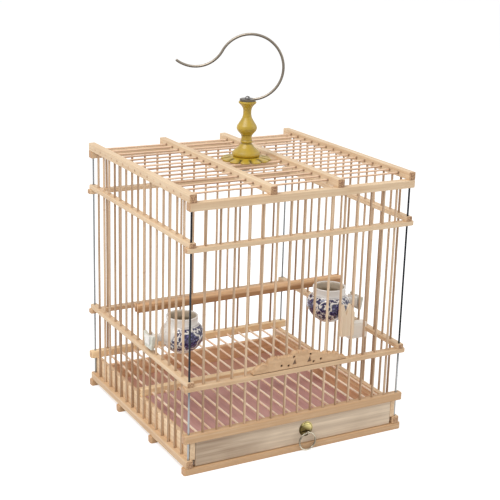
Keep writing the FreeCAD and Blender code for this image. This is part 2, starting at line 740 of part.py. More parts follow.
def build_hook():
    """The wire hook: a flat eye on the bolt, a round crook, and a curl that turns back to the tip."""
    owner = body("hook")
    eye = sketch(owner, "XY_Plane", "hook_eye")
    circle(eye, "0", "0", "2 * eye_radius")
    circle(eye, "0", "0", "2 * bolt_hole")
    pad(owner, eye, "eye_thickness")
    crook_x, crook_z = "hook_lean", "hook_low - eye_level + hook_radius"
    start_x = "eye_radius * 0.6"
    start_z = f"{crook_z} - sqrt(hook_radius^2 - ({start_x} - hook_lean)^2)"
    span = "(hook_radius + hook_curl)"
    curl_x = f"{crook_x} - {span} * cos(hook_curl_angle * 1 deg)"
    curl_z = f"{crook_z} + {span} * sin(hook_curl_angle * 1 deg)"
    meet_x = f"{crook_x} - hook_radius * cos(hook_curl_angle * 1 deg)"
    meet_z = f"{crook_z} + hook_radius * sin(hook_curl_angle * 1 deg)"
    tip_x = f"{curl_x} - hook_curl * sin(hook_tip_angle * 1 deg)"
    tip_z = f"{curl_z} - hook_curl * cos(hook_tip_angle * 1 deg)"
    centres = ((crook_x, crook_z), (curl_x, curl_z))
    joints = ((start_x, start_z), (meet_x, meet_z), (tip_x, tip_z))
    crook, curl, start, meet, tip = (Vector(amount(x), amount(z), 0) for x, z in centres + joints)
    path = sketch(owner, "XZ_Plane", "hook_path")
    path.addGeometry(Part.Arc(start, crook + Vector(amount("hook_radius"), 0, 0), meet))
    lowest = curl - (curl - (meet + tip) / 2).normalize() * amount("hook_curl")
    path.addGeometry(Part.Arc(meet, lowest, tip))
    ends = {0: ((start_x, start_z, 1), (meet_x, meet_z, 2)), 1: ((tip_x, tip_z, 1), (meet_x, meet_z, 2))}
    for arc, spots in ends.items():
        for x, z, point in spots:
            fix(path, "DistanceX", arc, point, x)
            fix(path, "DistanceY", arc, point, z)
    size(path, "Radius", 0, "hook_radius")
    size(path, "Radius", 1, "hook_curl")
    section = owner.newObject("Sketcher::SketchObject", "hook_section")
    tangent = Vector(crook.y - start.y, 0, start.x - crook.x)
    section.Placement = FreeCAD.Placement(Vector(start.x, 0, start.y), FreeCAD.Rotation(UP, tangent))
    circle(section, "0", "0", "hook_wire")
    wire = owner.newObject("PartDesign::AdditivePipe", "hook_bend")
    wire.Profile = section
    wire.Spine = path
    owner.Tip = wire
    place(keep(owner, "hook"), "0", "0", "eye_level", SIZES["hook_turn_angle"])


def build_perch():
    """The perch: a square bar with softened edges, its ends notched round the middle side sticks."""
    owner = body("perch")
    plan = sketch(owner, "XY_Plane", "perch_plan")
    end, wide, slot = "perch_half", "perch_size / 2", "stick_dia / 2 + glue_gap"
    deep = "half_span - stick_dia / 2 - glue_gap"
    right = [
        (end, f"-({wide})"),
        (end, f"-({slot})"),
        (deep, f"-({slot})"),
        (deep, slot),
        (end, slot),
        (end, wide),
    ]
    left = [(f"-({x})", f"-({y})") for x, y in right]
    outline(plan, right + left)
    blank = pad(owner, plan, "perch_size")
    doc.recompute()
    long_edges = [
        f"Edge{index}" for index, edge in enumerate(blank.Shape.Edges, start=1)
        if edge.Length > amount("half_span")
    ]
    rounding = owner.newObject("PartDesign::Fillet", "perch_rounding")
    rounding.Base = (blank, long_edges)
    bind(rounding, Radius="perch_round")
    owner.Tip = rounding
    place(keep(owner, "perch"), "0", "0", "perch_level")


def build_cup(side, level, turn):
    """A porcelain cup with a headed lug through the wall, and the forked clip behind the lug's head."""
    name = f"cup_{side}"
    owner = body(name)
    rim_root = "cup_height - cup_neck"
    turned(owner, name, [
        ("0", "0"),
        ("cup_foot", "0", "-cup_belly * 0.12"),
        ("cup_belly", "cup_belly_level", "-cup_belly * 0.16"),
        ("cup_mouth", rim_root),
        ("cup_mouth", "cup_height"),
        ("cup_mouth - cup_wall", "cup_height"),
        ("cup_mouth - cup_wall", rim_root, "cup_belly * 0.15"),
        ("cup_belly - cup_wall", "cup_belly_level", "cup_belly * 0.11"),
        ("cup_foot - cup_wall", "cup_wall"),
        ("0", "cup_wall"),
    ])
    lug = sketch(owner, "XY_Plane", name + "_lug", "cup_belly_level - lug_height / 2")
    root, end = "cup_belly - cup_wall / 2", "cup_standoff + clip_outer - half_span + seat_gap"
    rectangle(lug, root, end, "-lug_width / 2", "lug_width / 2")
    pad(owner, lug, "lug_height")
    shoulder = sketch(owner, "XY_Plane", name + "_shoulder", "cup_belly_level - shoulder_height / 2")
    seat = "cup_standoff - stick_dia / 2 - seat_gap"
    rectangle(shoulder, f"{seat} - shoulder_thickness", seat, "-shoulder_length / 2", "shoulder_length / 2")
    pad(owner, shoulder, "shoulder_height")
    head = sketch(owner, "XY_Plane", name + "_lug_head", "cup_belly_level - lug_head / 2")
    rectangle(head, end, f"{end} + lug_head_thickness", "-lug_head / 2", "lug_head / 2")
    pad(owner, head, "lug_head")
    place(keep(owner, name), "cup_axis" if turn == 0 else "-cup_axis", "-cup_station", level, turn)
    clip = body(f"cup_clip_{side}")
    face = sketch(clip, "YZ_Plane", f"clip_{side}_face")
    half, notch, floor = "clip_length / 2", "lug_width / 2 + glue_gap", "-lug_height / 2 - glue_gap"
    top = f"({floor}) + clip_height * 0.62"
    low = f"{top} - clip_height"
    horn = [
        (f"({half}) * 0.7", low),
        (half, top),
        (f"({half}) * 0.75", top),
        (notch, "lug_height / 2"),
        (notch, floor),
    ]
    other_horn = [(f"-({y})", z) for y, z in reversed(horn)]
    outline(face, horn + other_horn)
    pad(clip, face, "clip_thickness")
    seat = "wall_outside + seat_gap"
    place(keep(clip, f"cup_clip_{side}"), seat if turn == 0 else f"-({seat})", "-cup_station",
          f"{level} + cup_belly_level", turn)


def build_fork():
    """The treat fork: a notched slat on a saddle block whose jaws grip the right middle rail."""
    saddle = body("fork_saddle")
    face = sketch(saddle, "XZ_Plane", "saddle_face")
    throat, jaw = "inner_face - glue_gap", "saddle_outside"
    ledge, ceiling = "mid_top - glue_gap", "mid_side_top + glue_gap"
    outline(face, [
        ("saddle_inside", "saddle_level"),
        (jaw, "saddle_level"),
        (jaw, ledge),
        (throat, ledge),
        (throat, ceiling),
        (jaw, ceiling),
        (jaw, "saddle_top"),
        ("saddle_inside", "saddle_top"),
    ])
    pad(saddle, face, "saddle_width", both_ways=True)
    place(keep(saddle, "fork_saddle"), "0", "-fork_station", "0")
    fork = body("treat_fork")
    slat = sketch(fork, "XZ_Plane", "fork_face")
    left, right, top = "-fork_width", "0", "fork_height"
    middle, half, tine = "-fork_width * 0.66", "fork_notch_width / 2", "fork_width * 0.06"
    outline(slat, [
        (left, "0"),
        (right, "0"),
        (right, f"{top} * 0.72"),
        (f"{middle} + {half} + {tine}", top),
        (f"{middle} + {half}", top),
        (middle, f"{top} - fork_notch_depth"),
        (f"{middle} - {half}", top),
        (f"{middle} - {half} - {tine}", top),
        (left, f"{top} * 0.72"),
    ])
    pad(fork, slat, "fork_thickness", both_ways=True)
    front = "-fork_station - saddle_width / 2 - fork_thickness / 2"
    place(keep(fork, "treat_fork"), "saddle_inside + fork_overlap", front, "saddle_level + fork_lift")


def check_and_write():
    """Stops on any failed object or bad shape, then writes one file per sub-part."""
    doc.recompute()
    failed = [item.Name for item in doc.Objects if {"Invalid", "Error"} & set(item.State)]
    if failed:
        raise RuntimeError("failed objects: " + ", ".join(failed))
    for item in parts:
        if item.Shape.isNull() or not item.Shape.isValid():
            raise RuntimeError("bad shape: " + item.Label)
    os.makedirs("parts", exist_ok=True)
    for item in parts:
        item.Shape.exportStep(f"parts/{item.Label}.step")
        print(item.Label, len(item.Shape.Solids), round(item.Shape.Volume, 1))


build_rings()
build_roof()
build_floor()
build_base()
build_rods()
build_sticks()
build_door()
build_drawer()
build_pull()
build_hook_seat()
build_hook()
build_perch()
build_cup("left", "cup_left_level", 180)
build_cup("right", "cup_right_level", 0)
build_fork()
check_and_write()
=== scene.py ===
"""Looks of a square bamboo songbird cage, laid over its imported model.

Every new piece is a surface worked out with numpy: a profile turned about an axis, a section carried
along a path, or a height laid over a flat grid. Lengths are metres, and MM turns millimetres into them.
"""

import math

import bpy
import numpy as np
from bpy.props import FloatProperty, FloatVectorProperty, IntProperty, PointerProperty
from bpy.types import Operator, Panel, PropertyGroup
from mathutils import Matrix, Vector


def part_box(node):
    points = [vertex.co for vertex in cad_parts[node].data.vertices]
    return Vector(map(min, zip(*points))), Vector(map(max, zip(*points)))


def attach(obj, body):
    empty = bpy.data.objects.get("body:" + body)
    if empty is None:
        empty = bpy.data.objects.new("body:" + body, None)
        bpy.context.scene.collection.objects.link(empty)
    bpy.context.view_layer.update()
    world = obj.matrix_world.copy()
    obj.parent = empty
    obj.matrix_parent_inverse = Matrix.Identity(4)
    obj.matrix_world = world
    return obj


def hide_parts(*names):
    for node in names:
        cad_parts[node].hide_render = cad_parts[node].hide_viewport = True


bl_info = {
    "name": "Bamboo songbird cage",
    "version": (1, 0, 0),
    "blender": (4, 5, 0),
    "location": "View3D > Sidebar > Cage",
    "description": "Builds the looks of a bamboo songbird cage over its packed model",
    "category": "Object",
}

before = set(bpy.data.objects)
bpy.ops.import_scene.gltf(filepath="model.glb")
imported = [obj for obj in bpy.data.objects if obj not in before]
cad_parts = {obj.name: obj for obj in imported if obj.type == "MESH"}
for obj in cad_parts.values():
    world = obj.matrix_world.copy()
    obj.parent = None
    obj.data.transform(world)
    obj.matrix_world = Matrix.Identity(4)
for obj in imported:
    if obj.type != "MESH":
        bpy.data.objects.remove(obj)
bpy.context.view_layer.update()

MM = 0.001
TURN = 2 * math.pi
AXES = np.eye(3)
X, Y, Z = AXES


def corners(node):
    """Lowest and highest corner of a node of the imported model, as arrays."""
    low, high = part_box(node)
    return np.array(low), np.array(high)


def placing(node):
    """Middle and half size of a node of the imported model."""
    low, high = corners(node)
    return (low + high) / 2, (high - low) / 2


def tint(red, green, blue):
    """A colour written in display values from 0 to 255, as the linear values that shaders use."""
    shares = np.array([red, green, blue]) / 255
    linear = np.where(shares <= 0.04045, shares / 12.92, ((shares + 0.055) / 1.055) ** 2.4)
    return tuple(float(value) for value in linear)


# Surfaces


def tube_faces(points, ends, start):
    """Corner numbers of the faces of one or more tubes of points, numbered (tube, row, place round).

    Each cell of the grid is a face. The end rows are drawn to a point, closed by a flat lid, or joined
    to each other in a loop.
    """
    spot = start + np.arange(np.prod(points.shape[:3])).reshape(points.shape[:3])
    if ends == "loop":
        spot = np.concatenate([spot, spot[:, :1]], axis=1)
    turn = np.roll(spot, -1, axis=2)
    cells = np.stack([spot[:, :-1], turn[:, :-1], turn[:, 1:], spot[:, 1:]], axis=-1)
    if ends == "point":
        row = spot[:, :1].shape
        foot, tip = np.broadcast_to(spot[:, :1, :1], row), np.broadcast_to(spot[:, -1:, :1], row)
        first = np.stack([foot, turn[:, 1:2], spot[:, 1:2]], axis=-1)
        last = np.stack([spot[:, -2:-1], turn[:, -2:-1], tip], axis=-1)
        threes = np.concatenate([first, last]).reshape(-1, 3).tolist()
        return cells[:, 1:-1].reshape(-1, 4).tolist() + threes
    faces = cells.reshape(-1, 4).tolist()
    if ends == "lid":
        faces += spot[:, 0, ::-1].tolist() + spot[:, -1].tolist()
    return faces


def make_piece(name, tubes, material, body, slot, *replaced, crease=40.0):
    """One object from tubes of points, each a tuple (points, ends, marks), put on its body in the frame.

    Points that no face uses are dropped. Marks are named numbers, one to a point, for materials to read.
    """
    faces, spots, marks = [], [], {}
    start = 0
    for points, ends, tags in tubes:
        points = points if points.ndim == 4 else points[None]
        faces += tube_faces(points, ends, start)
        spots.append(points.reshape(-1, 3))
        for key, values in tags.items():
            marks.setdefault(key, []).append(np.broadcast_to(values, points.shape[:3]).reshape(-1))
        start += len(spots[-1])
    used, renumbered = np.unique(np.concatenate(faces), return_inverse=True)
    cuts = np.cumsum([len(face) for face in faces])[:-1]
    rows = [face.tolist() for face in np.split(renumbered, cuts)]
    mesh = bpy.data.meshes.new(name)
    mesh.from_pydata(np.concatenate(spots)[used].tolist(), [], rows)
    for key, values in marks.items():
        layer = mesh.attributes.new(key, "FLOAT", "POINT")
        layer.data.foreach_set("value", np.concatenate(values)[used].astype(np.float32))
    mesh.shade_smooth()
    mesh.set_sharp_from_angle(angle=math.radians(crease))
    mesh.materials.append(material)
    piece = bpy.data.objects.new(name, mesh)
    bpy.context.scene.collection.objects.link(piece)
    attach(piece, body)
    if replaced:
        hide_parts(*replaced)


def dress(material, *names):
    """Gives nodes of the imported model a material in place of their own."""
    for name in names:
        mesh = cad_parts[name].data
        mesh.materials.clear()
        mesh.materials.append(material)


def across(along):
    """Two unit directions square to an axis and to each other, right-handed with it."""
    first = Y if abs(along[0]) > 0.9 else X
    return first, np.cross(along, first)


def unit(angle):
    """Points (cosine, sine) on the unit circle."""
    return np.stack([np.cos(angle), np.sin(angle)], axis=1)


def circle(sides):
    """Cosines and sines of evenly spaced angles round a circle."""
    return unit(np.arange(sides) * TURN / sides).T


def ring_about(along, sides):
    """Evenly spaced unit directions round an axis."""
    first, second = across(along)
    cosine, sine = circle(sides)
    return cosine[:, None] * first + sine[:, None] * second


def lathe(profile, centre, along, sides):
    """A profile turned about an axis: the point (r, h) goes round a circle of radius r at height h."""
    return centre + profile[:, None, :1] * ring_about(along, sides) + profile[:, None, 1:] * along


def soft_profile(points, step, blur):
    """A profile through corner points, cut into even steps and blurred, so that each corner is rounded.

    The blur is a bell curve along the profile; the two ends stay where they are.
    """
    run = np.concatenate([[0], np.cumsum(np.linalg.norm(np.diff(points, axis=0), axis=1))])
    even = np.linspace(0, run[-1], max(int(run[-1] / step), 8))
    line = np.stack([np.interp(even, run, points[:, 0]), np.interp(even, run, points[:, 1])], axis=1)
    reach = int(3 * blur / step) + 1
    bell = np.exp(-0.5 * (np.arange(-reach, reach + 1) * step / blur) ** 2)
    bell /= bell.sum()
    padded = np.concatenate([2 * line[:1] - line[reach:0:-1], line, 2 * line[-1:] - line[-2:-reach - 2:-1]])
    soft = np.stack([np.convolve(padded[:, axis], bell, "valid") for axis in (0, 1)], axis=1)
    soft[[0, -1]] = line[[0, -1]]
    return soft


def torus(centre, along, radius, wire, sides, around):
    """A ring: a circle of the wire's radius carried round a circle square to the axis."""
    tilt, lift = circle(around)
    reach = radius + wire * tilt[None, :, None]
    return centre + ring_about(along, sides)[:, None] * reach - along * (wire * lift)[None, :, None]


def rounded_bar(low, high, axis, radius):
    """A bar with rounded edges: a rounded rectangle carried along one axis.

    At each end it is drawn in over a quarter circle, down to a flat lid.
    """
    along, first, second = AXES[axis], AXES[(axis + 1) % 3], AXES[(axis + 2) % 3]
    half, centre = (high - low) / 2, (high + low) / 2
    quarter = np.linspace(0, math.pi / 2, 4)
    angle = (quarter[None] + np.arange(4)[:, None] * math.pi / 2).ravel()
    hub_a = np.repeat([1, -1, -1, 1], 4) * (half @ first - radius)
    hub_b = np.repeat([1, 1, -1, -1], 4) * (half @ second - radius)
    lid = 0.97
    drawn = np.append(lid, 1 - np.sin(quarter[1:]))
    inset = radius * np.concatenate([drawn, [0, 0], drawn[::-1]])
    close = radius * np.concatenate([[0], 1 - np.cos(quarter[1:]), [2]])
    reach = half @ along
    station = np.concatenate([close - reach, reach - close[::-1]])
    size = (radius - inset)[:, None]
    flat_a = hub_a + size * np.cos(angle)
    flat_b = hub_b + size * np.sin(angle)
    return centre + flat_a[..., None] * first + flat_b[..., None] * second + station[:, None, None] * along


# Finishes

GRAIN_DEPTH = 0.05 * MM


def feed(tree, socket, value):
    """Puts a fixed value on a socket, or joins what runs through the nodes to it."""
    value = value.socket if isinstance(value, Flow) else value
    if isinstance(value, bpy.types.NodeSocket):
        tree.links.new(value, socket)
    elif hasattr(value, "__len__") and len(socket.default_value) == 4:
        socket.default_value = (*value, 1.0)
    else:
        socket.default_value = value


def add_node(tree, kind, feeds=None, **choices):
    """A new node with its choices made; feeds go to its sockets, by their names or numbers."""
    node = tree.nodes.new("ShaderNode" + kind)
    for name, value in choices.items():
        setattr(node, name, value)
    for place, value in (feeds or {}).items():
        feed(tree, node.inputs[place], value)
    return node


class Flow:
    """A number running through a material's nodes; sums, products and the like add Math nodes."""

    def __init__(self, tree, socket):
        self.tree, self.socket = tree, socket

    def math(self, operation, *others):
        """One Math node on this number and others."""
        feeds = dict(enumerate((self, *others)))
        return Flow(self.tree, add_node(self.tree, "Math", feeds, operation=operation).outputs[0])

    def __add__(self, other):
        return self.math("ADD", other)

    def __sub__(self, other):
        return self.math("SUBTRACT", other)

    def __mul__(self, other):
        return self.math("MULTIPLY", other)

    def sine(self):
        """The sine of this number."""
        return self.math("SINE")

    def size(self):
        """This number without its sign."""
        return self.math("ABSOLUTE")

    def most(self, other):
        """The larger of two numbers."""
        return self.math("MAXIMUM", other)

    def held(self):
        """This number, held between 0 and 1."""
        return self.most(0.0).math("MINIMUM", 1.0)

    def sway(self, weight):
        """How far this number is from a half, times a weight."""
        return (self - 0.5) * weight

    def step(self, low, high):
        """0 below low, 1 above high, a smooth rise between; the other way round where high is lower."""
        turned = high < low
        feeds = {
            "Value": self, "From Min": min(low, high), "From Max": max(low, high),
            "To Min": float(turned), "To Max": float(not turned),
        }
        node = add_node(self.tree, "MapRange", feeds, interpolation_type="SMOOTHSTEP")
        return Flow(self.tree, node.outputs["Result"])


class Finish:
    """A material in the making: its nodes, its shader, and short ways to add patterns."""

    def __init__(self, name, roughness, metallic=0.0):
        self.material = bpy.data.materials.new(name)
        self.material.use_nodes = True
        self.tree = self.material.node_tree
        self.shader = self.tree.nodes["Principled BSDF"]
        self.send("Roughness", roughness)
        self.send("Metallic", metallic)

    def send(self, name, value):
        """Gives the shader a fixed value, or what runs through the nodes."""
        feed(self.tree, self.shader.inputs[name], value)

    def coat(self, weight, roughness):
        """Adds a clear coat."""
        self.send("Coat Weight", weight)
        self.send("Coat Roughness", roughness)

    def spot(self, scale, centre):
        """Object coordinates, measured from a centre and scaled on each axis."""
        feeds = {
            "Vector": add_node(self.tree, "TexCoord").outputs["Object"],
            "Location": [-c * s for c, s in zip(centre, scale)],
            "Scale": scale,
        }
        return add_node(self.tree, "Mapping", feeds).outputs[0]

    def place(self, centre=(0, 0, 0)):
        """The x, y and z of object coordinates, measured from a centre."""
        node = add_node(self.tree, "SeparateXYZ", {0: self.spot((1, 1, 1), centre)})
        return [Flow(self.tree, part) for part in node.outputs]

    def noise(self, scale, detail=2.0, centre=(0, 0, 0), warp=0.0):
        """Cloudy noise from 0 to 1; scale is the waves to a metre, on all axes or on each."""
        scale = np.broadcast_to(scale, 3).tolist()
        feeds = {"Vector": self.spot(scale, centre), "Scale": 1.0, "Detail": detail, "Distortion": warp}
        return Flow(self.tree, add_node(self.tree, "TexNoise", feeds).outputs[0])

    def mark(self, name):
        """A named number kept on the piece's points."""
        return Flow(self.tree, add_node(self.tree, "Attribute", attribute_name=name).outputs["Fac"])

    def mix(self, amount, first, second):
        """A blend of two colours."""
        return add_node(self.tree, "Mix", {0: amount, 6: first, 7: second}, data_type="RGBA").outputs[2]

    def paint(self, colour):
        """Sends a colour to the shader."""
        self.send("Base Color", colour)

    def relief(self, height, depth):
        """Lets a pattern's height tilt the light, by a depth in metres."""
        bump = add_node(self.tree, "Bump", {"Strength": 1.0, "Distance": depth, "Height": height})
        self.send("Normal", bump.outputs["Normal"])


def stretched(axis, wide, long):
    """Noise scales for fibres: many waves across, few along the given axis."""
    return [long if place == axis else wide for place in range(3)]


def bamboo(name, axis, light, dark, end_at=None, end_colour=None, marked=False, low_darkening=0.3, pale=0.0,
           entries=()):
    """Planed bamboo: long pale and brown fibres along an axis, faint patches, and darker grain on cut ends.

    The blend is a sum of three noises, a fine one and a broad one stretched along the fibres and one of
    patches, a share that makes it darker towards the base, and, on sticks, each one's own tone and a darker
    side that is both the skin of split bamboo and painted shade. It may grow paler along the axis, by a
    share for each metre, and has a painted shadow where it enters a hole.
    """
    finish = Finish(name, roughness=0.5)
    spot = finish.place()
    place = spot[axis]
    fibre = finish.noise(stretched(axis, 1300, 22), 3.0)
    streak = finish.noise(stretched(axis, 330, 4), 2.0)
    patch = finish.noise(34, 3.0)
    blend = fibre.sway(0.85) + streak.sway(1.15) + patch.sway(0.55) + 0.34
    # Darker towards the base, by a share given for each rail, and paler along the axis
    blend = blend + spot[2].step(150 * MM, 20 * MM) * low_darkening - place * pale
    # Each stick's own tone, and its darker side, which is both skin and painted shade
    if marked:
        blend = blend + finish.mark("tone").sway(0.7) + finish.mark("skin").sway(0.9)
    colour = finish.mix(blend.held(), light, dark)
    if marked:
        colour = finish.mix(finish.mark("joint") * 0.55, colour, end_colour)
    if end_at is not None:
        grain = finish.mix(finish.noise(900, 2.0).step(0.35, 0.65), end_colour, dark)
        colour = finish.mix(place.size().step(end_at - 1.1 * MM, end_at - 0.15 * MM), colour, grain)
    # Painted shadow where a stick goes into a hole of a bar
    for entry in entries:
        shadow = (place - (entry - 0.8 * MM)).size().step(1.7 * MM, 0.6 * MM)
        colour = finish.mix(shadow * 0.6, colour, tint(118, 80, 52))
    finish.paint(colour)
    finish.relief(fibre, GRAIN_DEPTH)
    return finish.material


def board(name, axis, light, dark, wide=420, long=9, smudge=0.5, roughness=0.55, lines=1.6, pale=0.0,
          painted_shade_heights=None, stain=None):
    """Plain sawn board: lines of grain along an axis, bent a little, over smudges drawn out along it.

    It may grow paler along the axis, by a share for each metre, have painted shade from one height down to
    another, and be stained past a place on the axis: from, to and colour.
    """
    finish = Finish(name, roughness)
    grain = finish.noise(stretched(axis, wide, long), 4.0, warp=0.4)
    fine = finish.noise(stretched(axis, wide * 3.5, long * 3), 2.0)
    cloud = finish.noise(stretched(axis, 44, 13), 3.0, warp=0.6)
    blend = grain.sway(lines) + fine.sway(lines * 0.4) + cloud.sway(smudge * 2) + 0.42
    place = finish.place()
    if pale:
        blend = blend - place[axis] * pale
    # Painted shade: darker from the first height down to the second
    if painted_shade_heights:
        blend = blend + place[2].step(*painted_shade_heights) * 0.8
    colour = finish.mix(blend.held(), light, dark)
    if stain:
        start, stop, hue = stain
        colour = finish.mix(place[axis].step(start, stop) * 0.85, colour, hue)
    finish.paint(colour)
    finish.relief(fine, GRAIN_DEPTH)
    return finish.material


def metal(name, bright, dull, roughness, cloud, marked=False):
    """Bare metal: a bright and a dull colour in soft clouds, roughness that follows them, dark marks."""
    finish = Finish(name, roughness, metallic=1.0)
    patch = finish.noise(cloud, 2.0)
    colour = finish.mix((patch.sway(1.4) + 0.45).held(), bright, dull)
    if marked:
        # Marks of painted shade and painted reflection on the hook wire and the ring; on the washer, its
        # own darker tone
        colour = finish.mix(finish.mark("depth"), colour, [share * 0.3 for share in dull])
    finish.paint(colour)
    finish.send("Roughness", patch.sway(0.2) + roughness)
    return finish.material


def gilding(name, light, dark):
    """Mustard gilt paint over turned and carved wood: cloudy, painted shade and highlights where marked."""
    finish = Finish(name, roughness=0.42)
    cloud = finish.noise((130, 130, 90), 4.0)
    speck = finish.noise(1800, 2.0)
    # The depth mark adds painted shade, and a painted highlight where it is below 0
    blend = cloud.sway(0.7) + speck.sway(0.15) + 0.14 + finish.mark("depth")
    finish.paint(finish.mix(blend.held(), light, dark))
    finish.relief(cloud, 0.06 * MM)
    finish.coat(weight=0.25, roughness=0.25)
    return finish.material


# The painted band's heights above a cup's foot, and its flowers
BAND_LOW, BAND_HIGH = 4.2 * MM, 28.8 * MM
FLOWERS = 4
FLOWER_PETALS = 6


def porcelain(name, centre, white, cobalt, lug):
    """Glazed white porcelain with a painted blue band of round flowers, plain at the neck and lug.

    Round the cup's axis the angle counts off the flowers. In each repeat the flower is where the distance
    from its middle is below a petal radius that waves six times round, with paler veins on it and a white
    line round it; blots of noise fill the ground between the flowers. A cloudy wash makes the blue run
    from dark to pale.
    """
    finish = Finish(name, roughness=0.12)
    finish.coat(weight=0.6, roughness=0.05)
    x, y, z = finish.place(centre)
    out = (x * x + y * y).math("SQRT")
    height = (z - (BAND_LOW + BAND_HIGH) / 2) * (2 / (BAND_HIGH - BAND_LOW))
    wobble = finish.noise(420, 2.0, centre)
    turn = y.math("ARCTAN2", x) * (1 / TURN)
    side = ((turn * FLOWERS + 0.53).math("FRACT") - 0.5) * 3.06
    rise = height * 1.12
    reach = (side * side + rise * rise).math("SQRT")
    bearing = rise.math("ARCTAN2", side)
    petal = (bearing * FLOWER_PETALS).sine() * 0.12 + 0.8
    ragged = wobble.sway(0.24)
    flower = (reach - petal + ragged).step(0.05, -0.05)
    rim = (reach - petal - 0.12 + ragged).size().step(0.1, 0.05)
    waves = (bearing * 10).sine() + (reach * 21 + wobble * 3).sine() * 0.9
    veins = waves.step(0.65, 1.25) * reach.step(0.1, 0.2)
    blots = finish.noise(330, 1.0, centre, 0.7).step(0.40, 0.45)
    figure = flower.most(blots * (rim * -1.0 + 1.0))
    away = ((x * lug).math("DIVIDE", out) + height * 0.2).step(0.86, 0.76)
    band = height.size().step(1.0, 0.94) * out.step(12.0 * MM, 12.5 * MM) * away
    lines = (height.size() - 1.06).size().step(0.055, 0.025) * out.step(10.2 * MM, 10.4 * MM) * away
    wash = finish.noise(700, 3.0, centre)
    blue = finish.mix(wash.step(0.45, 0.85), cobalt, tint(58, 56, 116))
    blue = finish.mix(veins * flower * 0.8, blue, tint(116, 110, 166))
    cloud = finish.noise(60, 2.0, centre)
    body = finish.mix(cloud.step(0.3, 0.8), white, [share * 0.93 for share in white])
    # Painted shade: the inside of the cup is a darker, browner glaze
    glaze = finish.mix(finish.mark("inside"), body, tint(204, 190, 170))
    amount = (figure * band).most(lines * 0.35) * finish.mark("outside")
    finish.paint(finish.mix(amount, glaze, blue))
    return finish.material


# Settings


def colour_setting(name, description, *shade):
    """A colour that a user may change, given in display values."""
    return FloatVectorProperty(name=name, description=description, subtype="COLOR", size=3, min=0, max=1,
                               default=tint(*shade))


def length_setting(name, description, default):
    """A length that a user may change."""
    return FloatProperty(name=name, description=description, default=default, min=0, subtype="DISTANCE",
                         unit="LENGTH")


def share_setting(name, description, default, low, high):
    """A share that a user may change."""
    return FloatProperty(name=name, description=description, default=default, min=low, max=high,
                         subtype="FACTOR")


# The light and the dark colour of each finish, and what it is on
FINISHES = {
    "bamboo": ("Rails and bars", (235, 209, 174), (200, 161, 120)),
    # A lighter copy of the rails' bamboo: painted light on two bars that sit in shade
    "pale": ("Two palest bars", (255, 232, 194), (240, 202, 152)),
    "stick": ("Wall sticks", (228, 199, 166), (158, 124, 94)),
    "roof": ("Roof sticks", (240, 207, 176), (174, 131, 98)),
    "floor": ("Floor sticks", (255, 238, 216), (242, 208, 178)),
    "drawer": ("Drawer front", (234, 214, 188), (152, 126, 102)),
    "stained": ("Perch", (244, 202, 156), (178, 130, 86)),
    # A lighter copy of the perch's stained wood: painted light on drawer walls that sit in shade
    "wall": ("Drawer walls", (240, 206, 166), (204, 158, 116)),
    "tray": ("Litter tray board", (214, 171, 165), (187, 141, 137)),
    "gilt": ("Lotus and stem", (192, 160, 44), (88, 70, 14)),
}


class CageColours(PropertyGroup):
    """Colours of the cage's finishes."""

    end_grain: colour_setting("End grain", "Cut ends of rails and growth joints of sticks", 184, 142, 108)
    front_end: colour_setting("Front ends", "Cut ends of the rails that run front to back", 140, 98, 70)
    porcelain_white: colour_setting("Porcelain", "Cups", 232, 228, 222)
    cobalt: colour_setting("Cobalt blue", "Painted band of the cups", 28, 22, 74)
    __annotations__.update({
        f"{finish}_{tone}": colour_setting(f"{place}, {tone}", f"The {tone} colour in its grain", *shade)
        for finish, (place, *pair) in FINISHES.items()
        for tone, shade in zip(("light", "dark"), pair)
    })

    def pair_of(self, finish):
        """The light and the dark colour of a finish."""
        return getattr(self, finish + "_light"), getattr(self, finish + "_dark")


class CageSticks(PropertyGroup):
    """Sizes of the bamboo sticks."""

    bow: length_setting("Bow", "How far a stick bends at its middle", 0.25 * MM)
    swelling: share_setting("Joint swelling", "How much a stick swells at a growth joint", 0.05, 0, 0.2)
    roof_share: share_setting("Roof sticks", "Their thickness, as a share of the others", 0.84, 0.5, 1)
    sides: IntProperty(name="Sides", description="Flat sides of a stick", default=12, min=6, max=32)
    seed: IntProperty(name="Seed", description="Start of the chance numbers for bends and tones", default=7)


class CageStage(PropertyGroup):
    """Camera and light."""

    lens: length_setting("Lens", "Focal length of the camera", 84.67 * MM)
    sky: FloatProperty(name="Sky", description="Strength of the light from all round", default=0.52, min=0)
    key: FloatProperty(name="Key lamp", description="Power of the large soft lamp", default=33.0, min=0,
                       subtype="POWER", unit="POWER")


class CageSettings(PropertyGroup):
    """All that a user would change."""

    colours: PointerProperty(type=CageColours)
    sticks: PointerProperty(type=CageSticks)
    stage: PointerProperty(type=CageStage)


# Pieces

LONG_RAILS = [
    "top_front_rail", "top_back_rail", "upper_front_rail", "upper_back_rail",
    "mid_front_rail", "mid_back_rail", "floor_front_rail", "floor_back_rail", "floor_mid_bar",
    "base_bar_front", "base_bar_mid_front", "base_bar_mid_back", "base_bar_back",
]
DEEP_RAILS = [
    "upper_left_rail", "upper_right_rail", "mid_left_rail", "mid_right_rail",
    "base_left_rail", "base_right_rail",
    "roof_bar_left", "roof_bar_mid_left", "roof_bar_mid_right", "roof_bar_right",
]
# Bars in shade that take the lighter copy of the bamboo, as painted light
PAINTED_LIGHT_BARS = ["floor_back_rail", "floor_mid_bar"]


class CagePiece:
    """What the operators of the cage have in common."""

    bl_options = {"REGISTER", "UNDO"}


